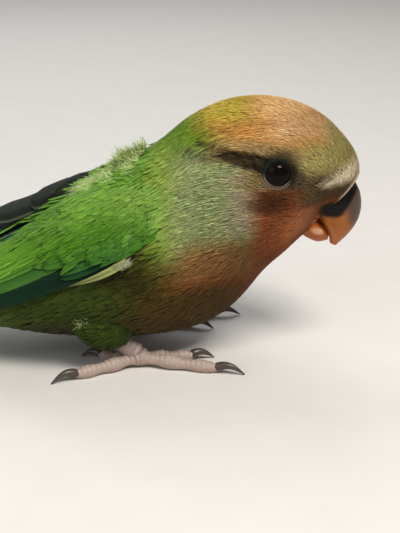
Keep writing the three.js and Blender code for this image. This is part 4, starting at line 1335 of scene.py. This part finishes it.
def scute_tree():
    """Lays plates along the lines of a mesh, a spacing apart, turned along them and as wide as the toe."""
    tree = bpy.data.node_groups.new("plates along the toes", "GeometryNodeTree")
    tree.is_modifier = True
    for name, kind in (
        ("Toes", "NodeSocketGeometry"),
        ("Plate", "NodeSocketObject"),
        ("Spacing", "NodeSocketFloat"),
        ("Uneven", "NodeSocketFloat"),
        ("Seed", "NodeSocketInt"),
        ("Finish", "NodeSocketMaterial"),
    ):
        tree.interface.new_socket(name, in_out="INPUT", socket_type=kind)
    tree.interface.new_socket("Scutes", in_out="OUTPUT", socket_type="NodeSocketGeometry")

    def node(kind, inputs=None, output=0, **settings):
        return add_node(tree, kind, inputs, **settings).outputs[output]

    given = add_node(tree, "NodeGroupInput").outputs
    curve = node("GeometryNodeMeshToCurve", {"Mesh": given["Toes"]})
    even = node("GeometryNodeResampleCurve", {"Curve": curve, "Length": given["Spacing"]}, mode="LENGTH")
    ahead = node("GeometryNodeInputTangent")
    along = node("FunctionNodeAlignRotationToVector", {"Vector": ahead}, axis="X")
    sky = {"Rotation": along, "Vector": (0, 0, 1)}
    upright = node("FunctionNodeAlignRotationToVector", sky, axis="Z", pivot_axis="X")
    girth = node("GeometryNodeInputNamedAttribute", {"Name": "girth"}, data_type="FLOAT")
    least = calc(tree, "SUBTRACT", 1.0, given["Uneven"])
    own = node("FunctionNodeRandomValue", {2: least, 3: 1.0, "Seed": given["Seed"]}, 1, data_type="FLOAT")
    size = calc(tree, "MULTIPLY", girth, own)
    plate = node("GeometryNodeObjectInfo", {"Object": given["Plate"]}, "Geometry")
    places = {"Points": even, "Instance": plate, "Rotation": upright, "Scale": size}
    real = node("GeometryNodeRealizeInstances", {"Geometry": node("GeometryNodeInstanceOnPoints", places)})
    done = node("GeometryNodeSetMaterial", {"Geometry": real, "Material": given["Finish"]})
    add_node(tree, "NodeGroupOutput", {"Scutes": done})
    return tree


def make_scutes(side, word):
    """The rows of plates along the tops of one foot's toes and shank."""
    shank, shank_radii = shank_line(side)
    rows = [(line[2:-3], radii[2:-3]) for line, radii in toe_lines(side)] + [(shank[3:-3], shank_radii[3:-3])]
    starts = np.cumsum([0] + [len(line) for line, _ in rows])
    edges = [(i, i + 1) for start, end in zip(starts[:-1], starts[1:]) for i in range(start, end - 1)]
    places = (np.concatenate([line for line, _ in rows]) + [SHIFT, 0, 0]) / 1000
    mesh = bpy.data.meshes.new("toe lines")
    mesh.from_pydata(places.tolist(), edges, [])
    girth = mesh.attributes.new("girth", "FLOAT", "POINT")
    girth.data.foreach_set("value", np.concatenate([radii for _, radii in rows]) / 1000)
    plate = scute_plate()
    guide = link_object("toe lines", mesh)
    grow = guide.modifiers.new("scutes", "NODES")
    grow.node_group = scute_tree()
    given = {"Plate": plate, "Spacing": 0.00098, "Uneven": 0.06, "Seed": 7 + side, "Finish": scute_finish}
    for item in grow.node_group.interface.items_tree:
        if item.in_out == "INPUT" and item.name in given:
            grow[item.identifier] = given[item.name]
    grown = guide.evaluated_get(bpy.context.evaluated_depsgraph_get())
    scutes = link_object(f"scutes_{word}", bpy.data.meshes.new_from_object(grown))
    face_outwards(scutes)
    guide.modifiers.remove(grow)
    for spare in (guide, plate):
        bpy.data.objects.remove(spare)
    settle(scutes, "foot")


def coat_thigh(side, word):
    """The small feathers of one thigh."""
    rows, aside = len(leaf), side * THIGH_ASIDE
    draw = np.random.default_rng(80 + side)
    s, v = scatter(THIGH, (0.3, 3.6), (0, 360), evenly(0.5), 81, aside)
    n = len(s)
    length = 3.0 * (0.8 + 0.4 * draw.random(n))
    line_s, line_v = paths(THIGH, s, v, length, draw.normal(0, 6, n), rows, aside)
    t = np.linspace(0, 1, rows)[None, :]
    lift = np.broadcast_to(-THIGH_COAT * (1 - t) + 0.25 * t, line_s.shape)
    points, vane = vanes(THIGH, line_s, line_v, lift, 0.42 * np.ones(n), leaf, three_columns, aside=aside)
    tone = SHADED_FLANK * (1 + 0.1 * draw.normal(0, 1, (n, 1)))
    tones = feather_tones(tone * 0.75, tone * 1.1, rows, len(three_columns))
    coat = join_batches(f"thigh_coat_{word}", [batch_of(points, vane, tones, s, v, rings=4)], body_plume)
    settle(coat, "body")


# Light, floor and camera
def make_floor():
    finish, tree, surface = new_finish("pale floor", Roughness=0.7)
    grain = noise(tree, add_node(tree, "ShaderNodeTexCoord").outputs["Object"], 90.0, 3.0)
    tones = {0: grain, 6: (0.70, 0.68, 0.65, 1), 7: (0.76, 0.74, 0.71, 1)}
    mixed = add_node(tree, "ShaderNodeMix", tones, data_type="RGBA")
    tree.links.new(mixed.outputs[2], surface.inputs["Base Color"])
    reach = 3.0
    corners = [(-reach, -reach, 0), (reach, -reach, 0), (reach, reach, 0), (-reach, reach, 0)]
    mesh = bpy.data.meshes.new("floor")
    mesh.from_pydata(corners, [], [(0, 1, 2, 3)])
    mesh.materials.append(finish)
    link_object("floor", mesh)


def make_light():
    world = bpy.data.worlds.new("studio")
    world.use_nodes = True
    sky = world.node_tree.nodes["Background"].inputs
    sky["Color"].default_value = (0.85, 0.84, 0.82, 1)
    sky["Strength"].default_value = 0.29
    bpy.context.scene.world = world
    warm, cool = (1.0, 0.96, 0.9), (0.95, 0.97, 1.0)
    target = Vector((0.02, 0, 0.02))
    for name, place, size, power, tint in (
        ("key", (0.20, -0.26, 0.46), 0.20, 2.8, warm),
        ("fill", (-0.35, -0.36, 0.30), 0.4, 0.65, cool),
        ("back", (-0.10, 0.36, 0.42), 0.4, 1.1, cool),
    ):
        lamp = bpy.data.lights.new(name, "AREA")
        lamp.energy, lamp.size, lamp.color = power, size, tint
        light = link_object(name, lamp)
        light.location = place
        light.rotation_euler = (target - Vector(place)).to_track_quat("-Z", "Y").to_euler()
    bpy.context.scene.view_settings.view_transform = "Standard"


def make_camera():
    """The photograph's view: level with the bird's right side, from a little above."""
    distance, elevation, sensor = 0.240, 20.0, 36
    aim = Vector(((25.0 + SHIFT) / 1000, 0, 0.0167))
    up = math.radians(elevation)
    lens = bpy.data.cameras.new("camera")
    lens.sensor_width = sensor
    lens.lens = sensor * 1200 / 533
    lens.clip_start = 0.01
    camera = link_object("camera", lens)
    camera.location = aim + distance * Vector((0, -math.cos(up), math.sin(up)))
    camera.rotation_euler = (math.radians(90 - elevation), 0, 0)
    bpy.context.scene.camera = camera


make_floor()
make_light()
make_camera()
make_skin()
make_coat()
make_down()
make_bill()
make_cere()
make_tail()
for side, word in SIDES:
    make_eye(side, word)
    make_lids(side, word)
    make_wing(side, word)
    make_foot(side, word)
    make_scutes(side, word)
    coat_thigh(side, word)
